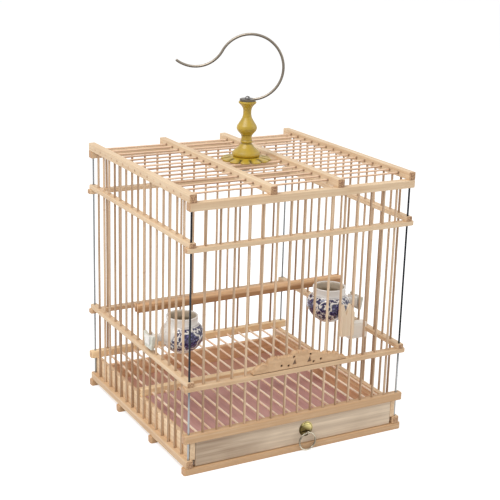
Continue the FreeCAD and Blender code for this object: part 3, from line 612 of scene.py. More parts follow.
class CAGE_OT_rails(CagePiece, Operator):
    """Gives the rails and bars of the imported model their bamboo, with the fibres along each one"""

    bl_idname = "cage.rails"
    bl_label = "Rails and bars"

    def execute(self, context):
        colours = context.scene.cage_looks.colours
        groups = {}
        for axis, names in ((0, LONG_RAILS), (1, DEEP_RAILS)):
            for name in names:
                end_at = round(float(corners(name)[1][axis]), 5)
                groups.setdefault((axis, end_at, name in PAINTED_LIGHT_BARS), []).append(name)
        # The bars in shade get the lighter bamboo, which is painted light
        for (axis, end_at, pale), names in groups.items():
            kind = "Pale bamboo" if pale else "Bamboo"
            label = f"{kind} along {'XY'[axis]}, ends at {end_at / MM:.1f} mm"
            # How much darker each group of rails grows towards the base
            low_darkening = 0.7 if axis == 0 and not pale else 0.3
            ends = colours.front_end if axis == 1 else colours.end_grain
            pair = colours.pair_of("pale" if pale else "bamboo")
            dress(bamboo(label, axis, *pair, end_at, ends, low_darkening=low_darkening), *names)
        return {"FINISHED"}


# The side on which most sticks have their darker side, which is both the skin of split bamboo and painted
# shade
SKIN_AND_SHADE_SIDE = np.array([-0.9, 0.16, -0.6])
STICK_PITCH = 15 * MM
# The axis that each row's sticks lie along, and the axis that the row runs along
STICK_ROWS = {
    "front_sticks": (2, 0), "back_sticks": (2, 0), "left_sticks": (2, 1), "right_sticks": (2, 1),
    "roof_sticks": (0, 1), "floor_sticks": (1, 0), "door_sticks": (2, 0),
}


def stick_tubes(feet, axis, lengths, radius, looks, chance, loose):
    """Bamboo sticks: circles carried along nearly straight paths.

    The path bows sideways by a half sine wave. The radius swells by a bell curve at one growth joint, and
    the ends are rounded over. Loose sticks, which slide, have neither bow nor joint. Each stick has a
    darker side, both the skin of split bamboo and painted shade, turned nearly the same way on every stick:
    a share that falls from 1 to 0 by the cosine of the angle away from it.
    """
    count = len(lengths)
    along = AXES[axis]
    first, second = across(along)
    thinner, end_share = 0.05, 0.78
    shrink = 1 - thinner * chance.random(count)
    joint = chance.uniform(0.12, 0.88, count) * lengths
    lean = chance.uniform(0, TURN, count)
    bend = chance.normal(0, looks.bow, count).clip(-2 * looks.bow, 2 * looks.bow) * (not loose)
    tone = chance.random(count)
    skin = math.atan2(SKIN_AND_SHADE_SIDE @ second, SKIN_AND_SHADE_SIDE @ first) + chance.normal(0, 0.5, count)
    edge, knuckle = 0.3 * MM, 0.8 * MM
    even = edge + np.linspace(0, 1, 9) * (lengths[:, None] - 2 * edge)
    near = joint[:, None] + np.arange(-2, 3) * knuckle
    inner = np.sort(np.hstack([even, near]), axis=1)
    zero, full = np.zeros((count, 1)), lengths[:, None]
    run = np.hstack([zero, zero, inner, full, full])
    at_joint = np.exp(-((run - joint[:, None]) / knuckle) ** 2) * (not loose)
    size = radius * shrink[:, None] * (1 + looks.swelling * at_joint)
    size[:, [1, -2]] *= end_share
    size[:, [0, -1]] = 0
    cosine, sine = circle(looks.sides)
    shade = 0.5 + 0.5 * (np.cos(skin)[:, None] * cosine + np.sin(skin)[:, None] * sine)
    drift = np.cos(lean)[:, None] * first + np.sin(lean)[:, None] * second
    sway = bend[:, None] * np.sin(math.pi * run / full)
    path = feet[:, None] + run[..., None] * along + sway[..., None] * drift[:, None]
    points = path[:, :, None] + size[..., None, None] * ring_about(along, looks.sides)
    marks = {"tone": tone[:, None, None], "joint": at_joint[..., None], "skin": shade[:, None]}
    return points, "point", marks


class CAGE_OT_sticks(CagePiece, Operator):
    """Makes the bamboo sticks of the walls, roof, floor and lift door"""

    bl_idname = "cage.sticks"
    bl_label = "Sticks"

    def execute(self, context):
        looks, colours = context.scene.cage_looks.sticks, context.scene.cage_looks.colours
        chance = np.random.default_rng(looks.seed)
        bars = [float(corners("roof_bar_" + name)[0][0]) for name in ("mid_left", "mid_right", "right")]
        kinds = (("roof", 2.0, bars), ("floor", 0.0, ()), ("stick", 0.0, ()))
        finishes = [
            bamboo("Bamboo stick along " + "XYZ"[axis], axis, *colours.pair_of(kind), marked=True,
                   end_colour=colours.end_grain, pale=pale, entries=entries)
            for axis, (kind, pale, entries) in enumerate(kinds)
        ]
        door_low, door_high = corners("door_sticks")
        mid_top = corners("mid_front_rail")[1][2]
        bridge = corners("hook_bridge")
        for name, (axis, row) in STICK_ROWS.items():
            low, high = corners(name)
            thin = 3 - axis - row
            radius = (high[thin] - low[thin]) / 2
            count = round((high[row] - low[row] - 2 * radius) / STICK_PITCH) + 1
            feet = np.tile(low + radius, (count, 1))
            feet[:, axis] = low[axis]
            feet[:, row] = np.linspace(low[row] + radius, high[row] - radius, count)
            lengths = np.full(count, high[axis] - low[axis])
            if name == "front_sticks":
                under_door = (feet[:, 0] > door_low[0]) & (feet[:, 0] < door_high[0])
                lengths[under_door] = mid_top - low[2]
            if name == "roof_sticks":
                radius *= looks.roof_share
                middle = count // 2
                lengths[middle] = bridge[0][0] - low[0]
                other = feet[middle].copy()
                other[0] = bridge[1][0]
                feet, lengths = np.vstack([feet, other]), np.append(lengths, lengths[middle])
            loose = name == "door_sticks"
            tubes = [stick_tubes(feet, axis, lengths, radius, looks, chance, loose)]
            make_piece("bamboo_" + name, tubes, finishes[axis], "door" if loose else "frame",
                       "bamboo_stick", name)
        return {"FINISHED"}


class CAGE_OT_rods(CagePiece, Operator):
    """Gives the steel rods at the corners their dull dark metal, with a painted sheen"""

    bl_idname = "cage.rods"
    bl_label = "Corner rods"

    def execute(self, context):
        finish = Finish("Drawn steel", roughness=0.34, metallic=1.0)
        streak = finish.noise(stretched(2, 300, 9), 2.0)
        _, y, z = finish.place()
        # Painted sheen: the back rods and the low part of every rod are paler
        grain_and_painted_light = (y.step(-50 * MM, 50 * MM) * 0.55).most(z.step(100 * MM, 60 * MM) * 0.75)
        steel = finish.mix(streak.step(0.35, 0.7), tint(34, 36, 40), tint(62, 66, 70))
        finish.paint(finish.mix(grain_and_painted_light, steel, tint(176, 180, 182)))
        dress(finish.material, *[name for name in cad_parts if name.startswith("corner_rod")])
        return {"FINISHED"}


# The carved board's outline, and its pips, keys and knolls: places as shares of its half width, heights
# as shares of its height, and the knolls' radii in millimetres
CRAGS = np.array([
    (-1.00, 0.10), (-0.94, 0.48), (-0.80, 0.62), (-0.70, 0.56), (-0.62, 0.84), (-0.52, 0.90), (-0.40, 0.76),
    (-0.26, 0.80), (-0.16, 0.94), (0.02, 1.00), (0.18, 0.92), (0.32, 0.80), (0.52, 0.64), (0.72, 0.56),
    (0.86, 0.44), (0.96, 0.26), (1.00, 0.10),
])
PIPS = np.array([(-0.40, 0.26), (-0.25, 0.20), (-0.14, 0.66), (0.22, 0.66), (0.29, 0.19), (0.45, 0.26)])
KEYS = np.array([-0.125, 0.195])
KNOLLS = np.array([
    (-0.86, 0.10, 7.5), (-0.57, 0.40, 8.5), (-0.28, 0.34, 8.0), (0.02, 0.48, 9.0), (0.36, 0.30, 8.5),
    (0.68, 0.08, 8.0),
])
RIPPLE_DEPTH, GROOVE_DEPTH, PIP_DEPTH, KEY_DEPTH = 0.18 * MM, 0.4 * MM, 2.4 * MM, 1.3 * MM


def carved_depth(x, z, half, height):
    """How deep the carving is at a spot of the board's face.

    Round pips and narrow upright triangles are cut straight in; shallow grooves follow circles round the
    knolls; a slow ripple leaves the gouge's marks.
    """
    depth = RIPPLE_DEPTH * (1 + np.sin(x * 820 + np.sin(z * 510) * 1.4)) * np.sin(z * 660 + x * 210) ** 2
    for share, level, size in KNOLLS:
        away = np.hypot(x - share * half, z - level * height)
        depth = np.maximum(depth, GROOVE_DEPTH * np.exp(-((away - size * MM) / (0.55 * MM)) ** 2))
    for share, level in PIPS:
        away = np.hypot(x - share * half, z - level * height)
        depth = np.maximum(depth, PIP_DEPTH * (1 - np.clip((away - 0.9 * MM) / (0.5 * MM), 0, 1)))
    up = (z / height - 0.2) / 0.34
    wide = 0.045 * half * (1 - np.clip(up, 0, 1)) + 0.15 * MM
    for share in KEYS:
        inside = np.minimum(wide - np.abs(x - (share + 0.012 * up) * half), np.minimum(up, 1 - up) * 5 * MM)
        depth = np.maximum(depth, KEY_DEPTH * np.clip(inside / (0.5 * MM) + 0.4, 0, 1))
    return depth


def carved_board(low, high):
    """The door's carved board: a section with a rounded top carried along the width, as high as the crags.

    Its top is nicked by narrow waves, and its front face let in by the carving's depth at each spot.
    """
    half, height, thick = (high[0] - low[0]) / 2, high[2] - low[2], high[1] - low[1]
    rows = 231
    x = np.linspace(-half, half, rows)
    top = np.interp(x / half, CRAGS[:, 0], CRAGS[:, 1]) * height
    bell = np.exp(-0.5 * (np.arange(-6, 7) / 2.2) ** 2)
    soft = np.convolve(np.pad(top, 6, mode="edge"), bell / bell.sum(), "valid")
    nicks = 1.9 * MM * np.sin(x * 350 + 1.3 * np.sin(x * 190)) ** 6 + 0.8 * MM * np.sin(x * 830 + 0.7) ** 6
    top = np.minimum(soft - nicks * (soft > 0.3 * height), height)[:, None]
    curve = np.minimum(1.5 * MM, top * 0.45)
    arc = np.linspace(0, math.pi, 11)
    back, front = np.linspace(0, 1, 8)[1:-1], np.linspace(1, 0, 40)[:-1]
    sole = np.linspace(-1, 1, 6)
    y = np.concatenate([
        np.broadcast_to(sole * thick / 2, (rows, len(sole))),
        np.full((rows, len(back)), thick / 2),
        (thick / 2 - curve) * np.sign(np.cos(arc)) * (np.abs(np.cos(arc)) > 1e-6) + curve * np.cos(arc),
        np.full((rows, len(front)), -thick / 2),
    ], axis=1)
    z = np.concatenate([
        np.zeros((rows, len(sole))),
        back * (top - curve),
        top - curve + curve * np.sin(arc),
        front * (top - curve),
    ], axis=1)
    cut = np.zeros_like(y)
    face = slice(y.shape[1] - len(front) + 1, y.shape[1])
    cut[:, face] = carved_depth(x[:, None], z[:, face], half, height)
    cut[[0, 1, -2, -1]] = 0
    points = np.stack([np.broadcast_to(x[:, None], y.shape), y + cut, z], axis=-1)
    points += [(low[0] + high[0]) / 2, (low[1] + high[1]) / 2, low[2]]
    return points, "lid", {"depth": np.clip(cut / (1.6 * MM), 0, 1)[None]}


class CAGE_OT_door_board(CagePiece, Operator):
    """Makes the carved board of the lift door"""

    bl_idname = "cage.door_board"
    bl_label = "Carved door board"

    def execute(self, context):
        colours = context.scene.cage_looks.colours
        finish = Finish("Carved bamboo", roughness=0.5)
        streak = finish.noise(stretched(0, 420, 14), 3.0)
        patch = finish.noise(90, 3.0)
        blend = streak.sway(1.2) + patch.sway(1.0) + 0.45
        wood = finish.mix(blend.held(), tint(222, 186, 146), tint(190, 150, 110))
        hollow = finish.mark("depth")
        # Shallow hollows take the darker tone of cut grain
        grain_and_painted_light = finish.mix(hollow.step(0.1, 0.6) * 0.5, wood, colours.end_grain)
        # A painted shadow along the board's foot, where it sits on the rail
        foot = finish.place(corners("door_board")[0])[2]
        with_foot_shadow = finish.mix(foot.step(1.1 * MM, 0.5 * MM) * 0.75, grain_and_painted_light, tint(96, 62, 34))
        # Painted shade in the deep hollows
        finish.paint(finish.mix(hollow.step(0.55, 0.95), with_foot_shadow, tint(46, 26, 14)))
        make_piece("carved_door_board", [carved_board(*corners("door_board"))], finish.material, "door",
                   "drawer_wood", "door_board", crease=50)
        return {"FINISHED"}


EASED_EDGE = 0.7 * MM


class CAGE_OT_drawer(CagePiece, Operator):
    """Makes the litter drawer's boards and the boards that guide it"""

    bl_idname = "cage.drawer"
    bl_label = "Drawer and guides"

    def execute(self, context):
        colours = context.scene.cage_looks.colours
        front = board("Drawer front wood", 0, *colours.pair_of("drawer"), wide=300, long=8, lines=0.9,
                      pale=2.2)
        # The walls' lighter wood is painted light
        wall_y = board("Wall wood along Y", 1, *colours.pair_of("wall"))
        wall_x = board("Wall wood along X", 0, *colours.pair_of("wall"))
        guide = board("Guide wood", 1, tint(243, 217, 182), tint(208, 169, 128))
        tray = board("Tray board", 1, *colours.pair_of("tray"), wide=160, long=12, roughness=0.7,
                     stain=(40 * MM, 62 * MM, tint(184, 138, 116)))
        rows = [
            ("drawer_front", 0, front, "drawer", "drawer_wood"),
            ("drawer_left_side", 1, wall_y, "drawer", "stained_wood"),
            ("drawer_right_side", 1, wall_y, "drawer", "stained_wood"),
            ("drawer_back", 0, wall_x, "drawer", "stained_wood"),
            ("drawer_bottom", 1, tray, "drawer", "tray_board"),
            ("guide_board_left", 1, guide, "frame", "stained_wood"),
            ("guide_board_right", 1, guide, "frame", "stained_wood"),
        ]
        for name, axis, material, body, slot in rows:
            tube = (rounded_bar(*corners(name), axis, EASED_EDGE), "lid", {})
            make_piece(name + "_board", [tube], material, body, slot, name, crease=50)
        return {"FINISHED"}


RING_SIDES = 96
# Where round the ring its painted dark reflection is deepest; the opposite side matches it
DARK_REFLECTION_SIDE = math.radians(158)
ROSETTE_SHARE = 1.06
# Outer edge of the rosette, as shares of its radius and depth
ROSETTE_RIM = [(0, 0), (0.98, 0), (1.0, 0.06), (1.0, 0.17), (0.98, 0.22), (0.9, 0.24)]


class CAGE_OT_pull(CagePiece, Operator):
    """Makes the domed rosette, the eye and the ring of the drawer's pull"""

    bl_idname = "cage.pull"
    bl_label = "Ring pull"

    def execute(self, context):
        middle, half = placing("pull_rosette")
        radius, back = half[0] * ROSETTE_SHARE, middle + half * Y
        dome = unit(np.linspace(0, math.pi / 2, 18)) * [0.86, 0.76] + [0, 0.24]
        profile = np.vstack([ROSETTE_RIM, dome]) * [radius, 2 * half[1]]
        profile[-1, 0] = 0
        # Painted shade in the crease between the rim and the dome
        dark = np.zeros(len(profile))
        seam = len(ROSETTE_RIM) - 1
        dark[seam:seam + 3] = [0.8, 0.9, 0.3]
        finish = Finish("Polished brass", roughness=0.16, metallic=1.0)
        x, _, z = finish.place(back)
        # Painted reflection: dark towards the lower left, bright towards the upper right
        painted_reflection = (z + x * 0.6).step(0.85 * radius, -0.1 * radius)
        brass = finish.mix(painted_reflection, tint(208, 194, 132), tint(84, 72, 40))
        finish.paint(finish.mix(finish.mark("depth") * 0.85, brass, tint(48, 38, 14)))
        tubes = [(lathe(profile, back, -Y, sides=72), "point", {"depth": dark[None, :, None]})]
        make_piece("brass_rosette", tubes, finish.material, "drawer", "brass", "pull_rosette", crease=60)
        pale = metal("Pale brass wire", tint(206, 198, 180), tint(150, 140, 120), roughness=0.16, cloud=220,
                     marked=True)
        ring_middle, half = placing("pull_ring")
        wire = half[1]
        ring = torus(ring_middle, -Y, half[0] - wire, wire, RING_SIDES, around=24)
        # Painted reflection: the pale ring darkens on two opposite sides
        bearing = np.arange(RING_SIDES) * TURN / RING_SIDES - DARK_REFLECTION_SIDE
        dark_reflection = 0.75 * np.abs(np.cos(bearing)) ** 3
        tubes = [(ring, "loop", {"depth": dark_reflection[None, :, None]})]
        make_piece("brass_ring", tubes, pale, "pull_ring", "brass", "pull_ring", crease=180)
        middle, half = placing("pull_eye")
        front, back = middle[1] - half[1], middle[1] + half[1]
        thin = half[0]
        loop = half[2] - thin
        eye = np.array([ring_middle[0], front + loop + thin, middle[2]])
        root = eye + Y * loop
        shank = np.array([(0, 0), (1, 0), (1, 1), (0, 1)]) * [0.4 * MM, back - root[1]]
        tubes = [
            (torus(eye, X, loop, thin, sides=40, around=14), "loop", {"depth": 0.0}),
            (lathe(shank, root, Y, sides=16), "point", {"depth": 0.0}),
        ]
        make_piece("brass_eye", tubes, pale, "drawer", "brass", "pull_eye")
        return {"FINISHED"}


# Radius of the hole that the bolt goes through, in millimetres
BOLT_HOLE = 2.05
LOTUS_PETALS, PETAL_COLUMNS = 12, 16
# The turned stem's profile: radii in millimetres, heights as shares of its own, and the heights of creases
STEM_PROFILE = np.array([
    (BOLT_HOLE, 0), (11.4, 0), (13.6, 0.012), (14.55, 0.045), (13.9, 0.085), (11.4, 0.125), (8.7, 0.165),
    (6.9, 0.205), (6.1, 0.228), (5.4, 0.234), (5.3, 0.25), (6.0, 0.256), (6.3, 0.272), (6.0, 0.288),
    (5.4, 0.3), (5.2, 0.345), (5.7, 0.39), (7.6, 0.43), (9.6, 0.47), (10.55, 0.515), (10.0, 0.56),
    (8.2, 0.61), (6.2, 0.665), (4.9, 0.71), (4.25, 0.76), (4.2, 0.84), (5.0, 0.89), (6.9, 0.935),
    (8.6, 0.96), (9.05, 0.97), (9.1, 0.985), (8.9, 0.998), (8.5, 1.0), (BOLT_HOLE, 1.0),
])
STEM_CREASES = (0.232, 0.252, 0.297, 0.39)


def lotus_petals(radius, height):
    """A ring of drooping petals: a height worked out over angle and distance, above a flat underside.

    The rim's radius drops between petals, and so does the top, most of all near the crown, so that every
    petal is a rounded leaf beside a gap that is widest at its inner end. The marks give each gap painted
    shade, and a rim round the crown a painted highlight.
    """
    rows, cols = 26, LOTUS_PETALS * PETAL_COLUMNS
    angle = np.arange(cols) * TURN / cols
    wave = np.abs(np.mod(angle / TURN * LOTUS_PETALS + 0.5, 1) - 0.5) * 2
    hole, crown, notch = BOLT_HOLE * MM, 12.0 * MM, 5.6 * MM
    edge = radius - notch * wave ** 4
    share = np.linspace(0, 1, rows)[:, None]
    out = hole + (edge[None] - hole) * share
    slope = np.clip((out - crown) / (radius - crown), 0, 1)
    fall = 0.62 * height * slope ** 1.7
    gap = np.clip((out - 15.4 * MM) / (1.0 * MM), 0, 1) * (1 - 0.35 * slope)
    valley = 0.62 * height * wave[None] ** 5 * gap
    top = np.maximum(height - fall - valley, 0.55 * MM)
    top[-1] = 0.5 * (top[-1] + 0.35 * MM)
    inner = 1 - np.clip((out - 16.0 * MM) / (10.0 * MM), 0, 1)
    # Painted shade in the gaps between petals
    depth = np.clip(wave[None] ** (6 - 3.6 * inner) * gap * 1.4, 0, 1)
    # A painted highlight in a rim round the crown
    depth -= 0.4 * np.exp(-((out - 15.2 * MM) / (0.7 * MM)) ** 2)
    ring = unit(angle)
    sole = out[:-1:4, :, None] * ring
    under = np.concatenate([sole, np.zeros((len(sole), cols, 1))], axis=2)
    over = np.concatenate([out[::-1, :, None] * ring, top[::-1, :, None]], axis=2)
    marks = np.concatenate([np.zeros((len(sole), cols)), depth[::-1]])
    return np.concatenate([under, over]), marks


class CAGE_OT_finial(CagePiece, Operator):
    """Makes the gilt lotus and the turned stem that carry the hook"""

    bl_idname = "cage.finial"
    bl_label = "Lotus and stem"

    def execute(self, context):
        colours = context.scene.cage_looks.colours
        gilt = gilding("Mustard gilding", *colours.pair_of("gilt"))
        low, high = corners("lotus_base")
        points, marks = lotus_petals((high[0] - low[0]) / 2, high[2] - low[2])
        make_piece("gilt_lotus", [(points + low[2] * Z, "loop", {"depth": marks[None]})], gilt, "frame",
                   "brass", "lotus_base", crease=180)
        low, high = corners("finial_stem")
        tall = high[2] - low[2]
        profile = soft_profile(STEM_PROFILE * [MM, tall], step=0.25 * MM, blur=0.32 * MM)
        level = profile[:, 1] / tall
        # Painted shade in the creases, and a painted highlight on the rim at the foot
        dark = sum(np.exp(-((level - crease) / 0.007) ** 2) for crease in STEM_CREASES) * 0.55
        dark -= 0.3 * np.exp(-((level - 0.03) / 0.016) ** 2)
        tubes = [(lathe(profile, low[2] * Z, Z, sides=72), "loop", {"depth": dark[None, :, None]})]
        make_piece("gilt_stem", tubes, gilt, "frame", "brass", "finial_stem", crease=60)
        return {"FINISHED"}


HOOK_WIRE = 1.35 * MM
HOOK_TURN = math.radians(-29)
WASHER_PROFILE = np.array([(BOLT_HOLE, 0), (8.0, 0), (8.0, 2.4), (BOLT_HOLE, 2.4), (BOLT_HOLE, 0.05)])
QUARTER_TURN = np.array([(0, 1), (-1, 0)])


def hook_path(count):
    """Points and directions along the hook's wire: a long arc up and over, a smaller one back."""
    crook, curl = np.array([2.4, 34.25]), 31.5
    radius, lean, tip = 32.7, math.radians(28.5), math.radians(35.5)
    far = crook + (radius + curl) * np.array([-math.cos(lean), math.sin(lean)])
    start = math.atan2(-32.61, 2.4)
    sweep_one, sweep_two = math.pi - lean - start, math.pi / 2 + tip - lean
    share = radius * sweep_one / (radius * sweep_one + curl * sweep_two)
    first = int(count * share)
    one = start + np.linspace(0, sweep_one, first, endpoint=False)
    two = -lean - np.linspace(0, sweep_two, count - first)
    spots = np.vstack([crook + radius * unit(one), far + curl * unit(two)])
    ways = np.vstack([unit(one), -unit(two)]) @ QUARTER_TURN
    return spots * MM, ways


class CAGE_OT_hook(CagePiece, Operator):
    """Makes the swivelling wire hook and its bolt, and finishes the nut and bridge"""

    bl_idname = "cage.hook"
    bl_label = "Hook and bolt"

    def execute(self, context):
        colours = context.scene.cage_looks.colours
        steel = metal("Hook wire", tint(166, 156, 142), tint(126, 116, 104), roughness=0.36, cloud=45,
                      marked=True)
        spots, ways = hook_path(count=150)
        level = corners("finial_stem")[1][2] + 0.1 * MM
        plane = np.array([math.cos(HOOK_TURN), math.sin(HOOK_TURN), 0])
        side = np.cross(Z, plane)
        tangent = ways[:, :1] * plane + ways[:, 1:] * Z
        normal = np.cross(side, tangent)
        path = spots[:, :1] * plane + spots[:, 1:] * Z + level * Z
        blunt = np.linspace(0, math.pi / 2, 5)[1:]
        tip = path[-1:] + tangent[-1:] * (np.sin(blunt) * 0.6 * HOOK_WIRE)[:, None]
        path = np.concatenate([path[:1], path, tip])
        size = np.concatenate([[0], np.full(len(spots), HOOK_WIRE), HOOK_WIRE * np.cos(blunt)])
        size[-1] = 0
        normal = np.concatenate([normal[:1], normal, np.repeat(normal[-1:], len(blunt), axis=0)])
        cosine, sine = circle(sides=20)
        ring = cosine[:, None] * normal[:, None] - sine[:, None] * side
        tube = path[:, None] + size[:, None, None] * ring
        edge = soft_profile(WASHER_PROFILE * MM, step=0.15 * MM, blur=0.16 * MM)
        washer = lathe(edge, level * Z, Z, sides=56)
        # Painted shade on the underside of the wire; the washer's mark is its own darker tone
        under = 0.85 * (1 - np.clip((ring[..., 2] + 0.35) / 0.8, 0, 1))
        tubes = [(tube, "point", {"depth": under[None]}), (washer, "loop", {"depth": 0.7})]
        make_piece("wire_hook", tubes, steel, "hook", "hook_steel", "hook", crease=60)
        dark = metal("Bolt steel", tint(140, 138, 136), tint(90, 88, 88), roughness=0.3, cloud=200)
        foot, head = corners("hook_bolt")
        dome = (head[0] - foot[0]) / 2
        shank = head[2] - foot[2] - dome
        rise = dome * unit(np.linspace(0, math.pi / 2, 12)) + [0, shank]
        profile = np.vstack([[(0, 0), (1.8 * MM, 0), (2 * MM, 0.3 * MM), (2 * MM, shank)], rise])
        profile[-1, 0] = 0
        tubes = [(lathe(profile, foot[2] * Z, Z, sides=40), "point", {})]
        make_piece("round_head_bolt", tubes, dark, "frame", "hook_steel", "hook_bolt", crease=50)
        dress(dark, "hook_nut")
        dress(board("Bridge wood", 0, *colours.pair_of("bamboo")), "hook_bridge")
        return {"FINISHED"}


# A cup's profile in millimetres, from under the foot, up the outside and down the inside
CUP_PROFILE = np.array([
    (0, 0.9), (6.6, 0.9), (7.4, 0.3), (8.2, 0), (10.3, 0), (10.9, 0.5), (12.0, 1.5), (15.6, 4.2),
    (19.0, 8.0), (21.5, 12.2), (22.7, 16.4), (22.7, 19.0), (21.9, 22.4), (20.0, 25.8), (17.6, 28.4),
    (16.3, 30.2), (15.95, 32.2), (16.0, 35.0), (16.35, 37.2), (16.3, 37.75), (15.7, 38.0), (14.9, 37.9),
    (14.3, 37.2), (13.9, 35.0), (13.8, 31.0), (14.6, 29.0), (17.4, 26.4), (19.4, 22.6), (20.2, 18.0),
    (19.4, 13.6), (16.6, 8.6), (12.4, 4.8), (7.9, 2.8), (0, 2.6),
])
CUP_RADIUS = 22.8 * MM
# How much wider the right cup's neck is than the left one's, and how high the widening goes on
NECK_FLARE, FLARE_HEIGHT = 0.1, 34 * MM


class CAGE_OT_cups(CagePiece, Operator):
    """Makes the two porcelain cups with their painted bands and lugs, and finishes the clips"""

    bl_idname = "cage.cups"
    bl_label = "Porcelain cups"

    def execute(self, context):
        colours = context.scene.cage_looks.colours
        profile = soft_profile(CUP_PROFILE * MM, step=0.5 * MM, blur=0.45 * MM)
        lip = int(np.argmax(profile[:, 1]))
        inner = np.zeros(len(profile))
        inner[lip + 3:] = 1
        marks = {"inside": inner[None, :, None], "outside": 1 - inner[None, :, None]}
        for side, sign in (("left", -1), ("right", 1)):
            low, high = corners("cup_" + side)
            inward, wall = (low[0], high[0]) if sign > 0 else (high[0], low[0])
            centre = np.array([inward + sign * CUP_RADIUS, (low[1] + high[1]) / 2, low[2]])
            reach = abs(wall - centre[0]) / MM
            glaze = porcelain("Porcelain " + side, centre, colours.porcelain_white, colours.cobalt, sign)
            shape = profile.copy()
            if sign > 0:
                shape[:, 0] *= 1 + NECK_FLARE * np.clip(profile[:, 1] / FLARE_HEIGHT, 0, 1) ** 2
            tubes = [(lathe(shape, centre, Z, sides=96), "point", marks)]
            # The lug's neck and two flanges: corners from the cup's foot, axis and edge radius
            bars = [
                ((21.5, -3.0, 14.0), (reach - 1.3, 3.0, 21.0), 0, 1.3),
                ((reach - 8.6, -9.0, 12.5), (reach - 7.0, 9.0, 22.5), 1, 0.75),
                ((reach - 1.4, -5.0, 12.5), (reach, 5.0, 22.5), 1, 0.65),
            ]
            for start, stop, axis, soft in bars:
                start, stop = np.array(start) * MM, np.array(stop) * MM
                if sign < 0:
                    start[0], stop[0] = -stop[0], -start[0]
                lug = rounded_bar(centre + start, centre + stop, axis, soft * MM)
                tubes.append((lug, "lid", {"inside": 0.0, "outside": 0.0}))
            make_piece("porcelain_cup_" + side, tubes, glaze, "frame", "porcelain", "cup_" + side,
                       crease=60)
        clip = Finish("Ivory clip", roughness=0.5)
        cloud = clip.noise(160, 3.0)
        clip.paint(clip.mix(cloud.step(0.3, 0.75), tint(226, 226, 214), tint(202, 200, 186)))
        dress(clip.material, "cup_clip_left", "cup_clip_right")
        return {"FINISHED"}


class CAGE_OT_fittings(CagePiece, Operator):
    """Finishes the perch, the treat fork and the fork's saddle"""

    bl_idname = "cage.fittings"
    bl_label = "Perch and treat fork"

    def execute(self, context):
        colours = context.scene.cage_looks.colours
        low, high = corners("perch")
        # Painted shade on the perch's lower part, from about its upper quarter down to below its middle
        grain_and_painted_light = (0.75 * high[2] + 0.25 * low[2], 0.4 * high[2] + 0.6 * low[2])
        perch = board("Perch wood", 0, *colours.pair_of("stained"), wide=500, long=10, pale=1.5,
                      painted_shade_heights=grain_and_painted_light)
        dress(perch, "perch")
        fork = board("Fork wood", 2, tint(255, 238, 212), tint(244, 220, 188), wide=600, long=20,
                     smudge=0.4)
        dress(fork, "treat_fork")
        saddle = board("Saddle wood", 0, tint(255, 252, 244), tint(250, 240, 224), wide=500, long=24,
                       lines=0.7)
        dress(saddle, "fork_saddle")
        return {"FINISHED"}


# Where the camera stands, and its angles round, down and about its own axis
CAMERA_SPOT = np.array([-0.5695, -1.0369, 0.5309])
CAMERA_TURN, CAMERA_DROP, CAMERA_ROLL = (math.radians(angle) for angle in (-29.11, 16.64, 1.67))
# Each lamp's name, place and share of the key lamp's power
LAMPS = (("Key lamp", (-1.2, -0.5, 2.0), 1.0), ("Fill lamp", (1.5, -0.9, 1.1), 0.2))
LAMP_SIZE, LAMP_AIM = 1.6, 0.15 * Z
FLOOR_RADIUS, FLOOR_SIDES, FLOOR_LEVEL = 7.0, 96, -0.2 * MM
FLOOR_GLOW = 0.58


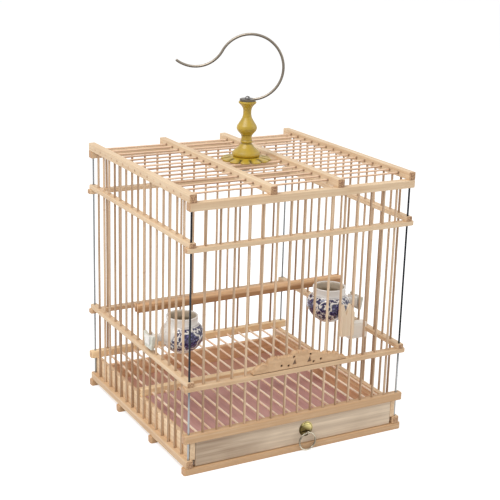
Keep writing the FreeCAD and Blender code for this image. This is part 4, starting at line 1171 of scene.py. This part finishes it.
class CAGE_OT_stage(CagePiece, Operator):
    """Lays the pale floor, sets the soft studio light and places the camera"""

    bl_idname = "cage.stage"
    bl_label = "Floor, light and camera"

    def execute(self, context):
        scene, look = context.scene, context.scene.cage_looks.stage
        scene.view_settings.view_transform = "Standard"
        self.lay_floor(scene)
        self.light_world(scene, look.sky)
        for name, spot, share in LAMPS:
            data = bpy.data.lights.new(name, "AREA")
            data.shape = "DISK"
            data.size = LAMP_SIZE
            data.energy = look.key * share
            lamp = bpy.data.objects.new(name, data)
            way = np.array(spot) - LAMP_AIM
            lamp.matrix_world = self.facing(np.array(spot), way / np.linalg.norm(way), X)
            scene.collection.objects.link(lamp)
        camera = bpy.data.cameras.new("Camera")
        camera.lens = look.lens / MM
        camera.sensor_width = 36
        camera.clip_start = 0.05
        holder = bpy.data.objects.new("Camera", camera)
        right = np.array([math.cos(CAMERA_TURN), math.sin(CAMERA_TURN), 0])
        ahead = math.cos(CAMERA_DROP) * np.cross(Z, right) - math.sin(CAMERA_DROP) * Z
        up = np.cross(right, ahead)
        level = math.cos(CAMERA_ROLL) * right + math.sin(CAMERA_ROLL) * up
        holder.matrix_world = self.facing(CAMERA_SPOT, -ahead, level)
        scene.collection.objects.link(holder)
        scene.camera = holder
        return {"FINISHED"}

    @staticmethod
    def facing(spot, back, right):
        """The placing of a camera or lamp that looks against back, with right as its own right."""
        up = np.cross(back, right)
        up /= np.linalg.norm(up)
        matrix = np.eye(4)
        matrix[:3, :3] = np.stack([np.cross(up, back), up, back], axis=1)
        matrix[:3, 3] = spot
        return Matrix(matrix.tolist())

    @staticmethod
    def seen(tree):
        """1 for rays that come straight from the camera, off a mirror or through glass."""
        path = add_node(tree, "LightPath").outputs
        camera = Flow(tree, path["Is Camera Ray"])
        return camera.most(path["Is Glossy Ray"]).most(path["Is Transmission Ray"])

    def lay_floor(self, scene):
        """A wide round floor: diffuse, to keep the shadow, with a little glow that only a view sees."""
        ring = ring_about(Z, FLOOR_SIDES) * FLOOR_RADIUS
        mesh = bpy.data.meshes.new("Floor")
        mesh.from_pydata(ring.tolist(), [], [list(range(FLOOR_SIDES))])
        floor = bpy.data.objects.new("Floor", mesh)
        floor.location.z = FLOOR_LEVEL
        scene.collection.objects.link(floor)
        material = bpy.data.materials.new("White floor")
        material.use_nodes = True
        tree = material.node_tree
        tree.nodes.clear()
        plain = add_node(tree, "BsdfDiffuse", {"Color": (0.8, 0.8, 0.8)})
        glow = add_node(tree, "Emission", {"Strength": self.seen(tree) * FLOOR_GLOW})
        both = add_node(tree, "AddShader", {0: plain.outputs[0], 1: glow.outputs[0]})
        add_node(tree, "OutputMaterial", {"Surface": both.outputs[0]})
        mesh.materials.append(material)

    def light_world(self, scene, strength):
        """Even white light from all round; what a view sees of it is plain white."""
        world = bpy.data.worlds.new("White studio")
        world.use_nodes = True
        tree = world.node_tree
        tree.nodes.clear()
        soft, white = (
            add_node(tree, "Background", {"Color": (1, 1, 1), "Strength": power}).outputs[0]
            for power in (strength, 1.0)
        )
        choose = add_node(tree, "MixShader", {"Fac": self.seen(tree), 1: soft, 2: white})
        add_node(tree, "OutputWorld", {"Surface": choose.outputs[0]})
        scene.world = world


OPERATORS = (
    CAGE_OT_rails, CAGE_OT_sticks, CAGE_OT_rods, CAGE_OT_door_board, CAGE_OT_drawer, CAGE_OT_pull,
    CAGE_OT_finial, CAGE_OT_hook, CAGE_OT_cups, CAGE_OT_fittings, CAGE_OT_stage,
)


class CAGE_PT_looks(Panel):
    """Lists the cage's pieces and settings"""

    bl_label = "Songbird cage"
    bl_idname = "CAGE_PT_looks"
    bl_space_type = "VIEW_3D"
    bl_region_type = "UI"
    bl_category = "Cage"

    def draw(self, context):
        for operator in OPERATORS:
            self.layout.operator(operator.bl_idname)
        looks = context.scene.cage_looks
        for group in (looks.colours, looks.sticks, looks.stage):
            column = self.layout.column()
            for name in group.__annotations__:
                column.prop(group, name)


CLASSES = (CageColours, CageSticks, CageStage, CageSettings, *OPERATORS, CAGE_PT_looks)


def register():
    """Adds the classes and the settings to Blender."""
    for cls in CLASSES:
        bpy.utils.register_class(cls)
    bpy.types.Scene.cage_looks = PointerProperty(type=CageSettings)


def unregister():
    """Takes the settings and the classes out again."""
    del bpy.types.Scene.cage_looks
    for cls in reversed(CLASSES):
        bpy.utils.unregister_class(cls)


def main():
    """Builds every piece in order."""
    register()
    for operator in OPERATORS:
        family, name = operator.bl_idname.split(".")
        getattr(getattr(bpy.ops, family), name)()


if __name__ == "__main__":
    main()
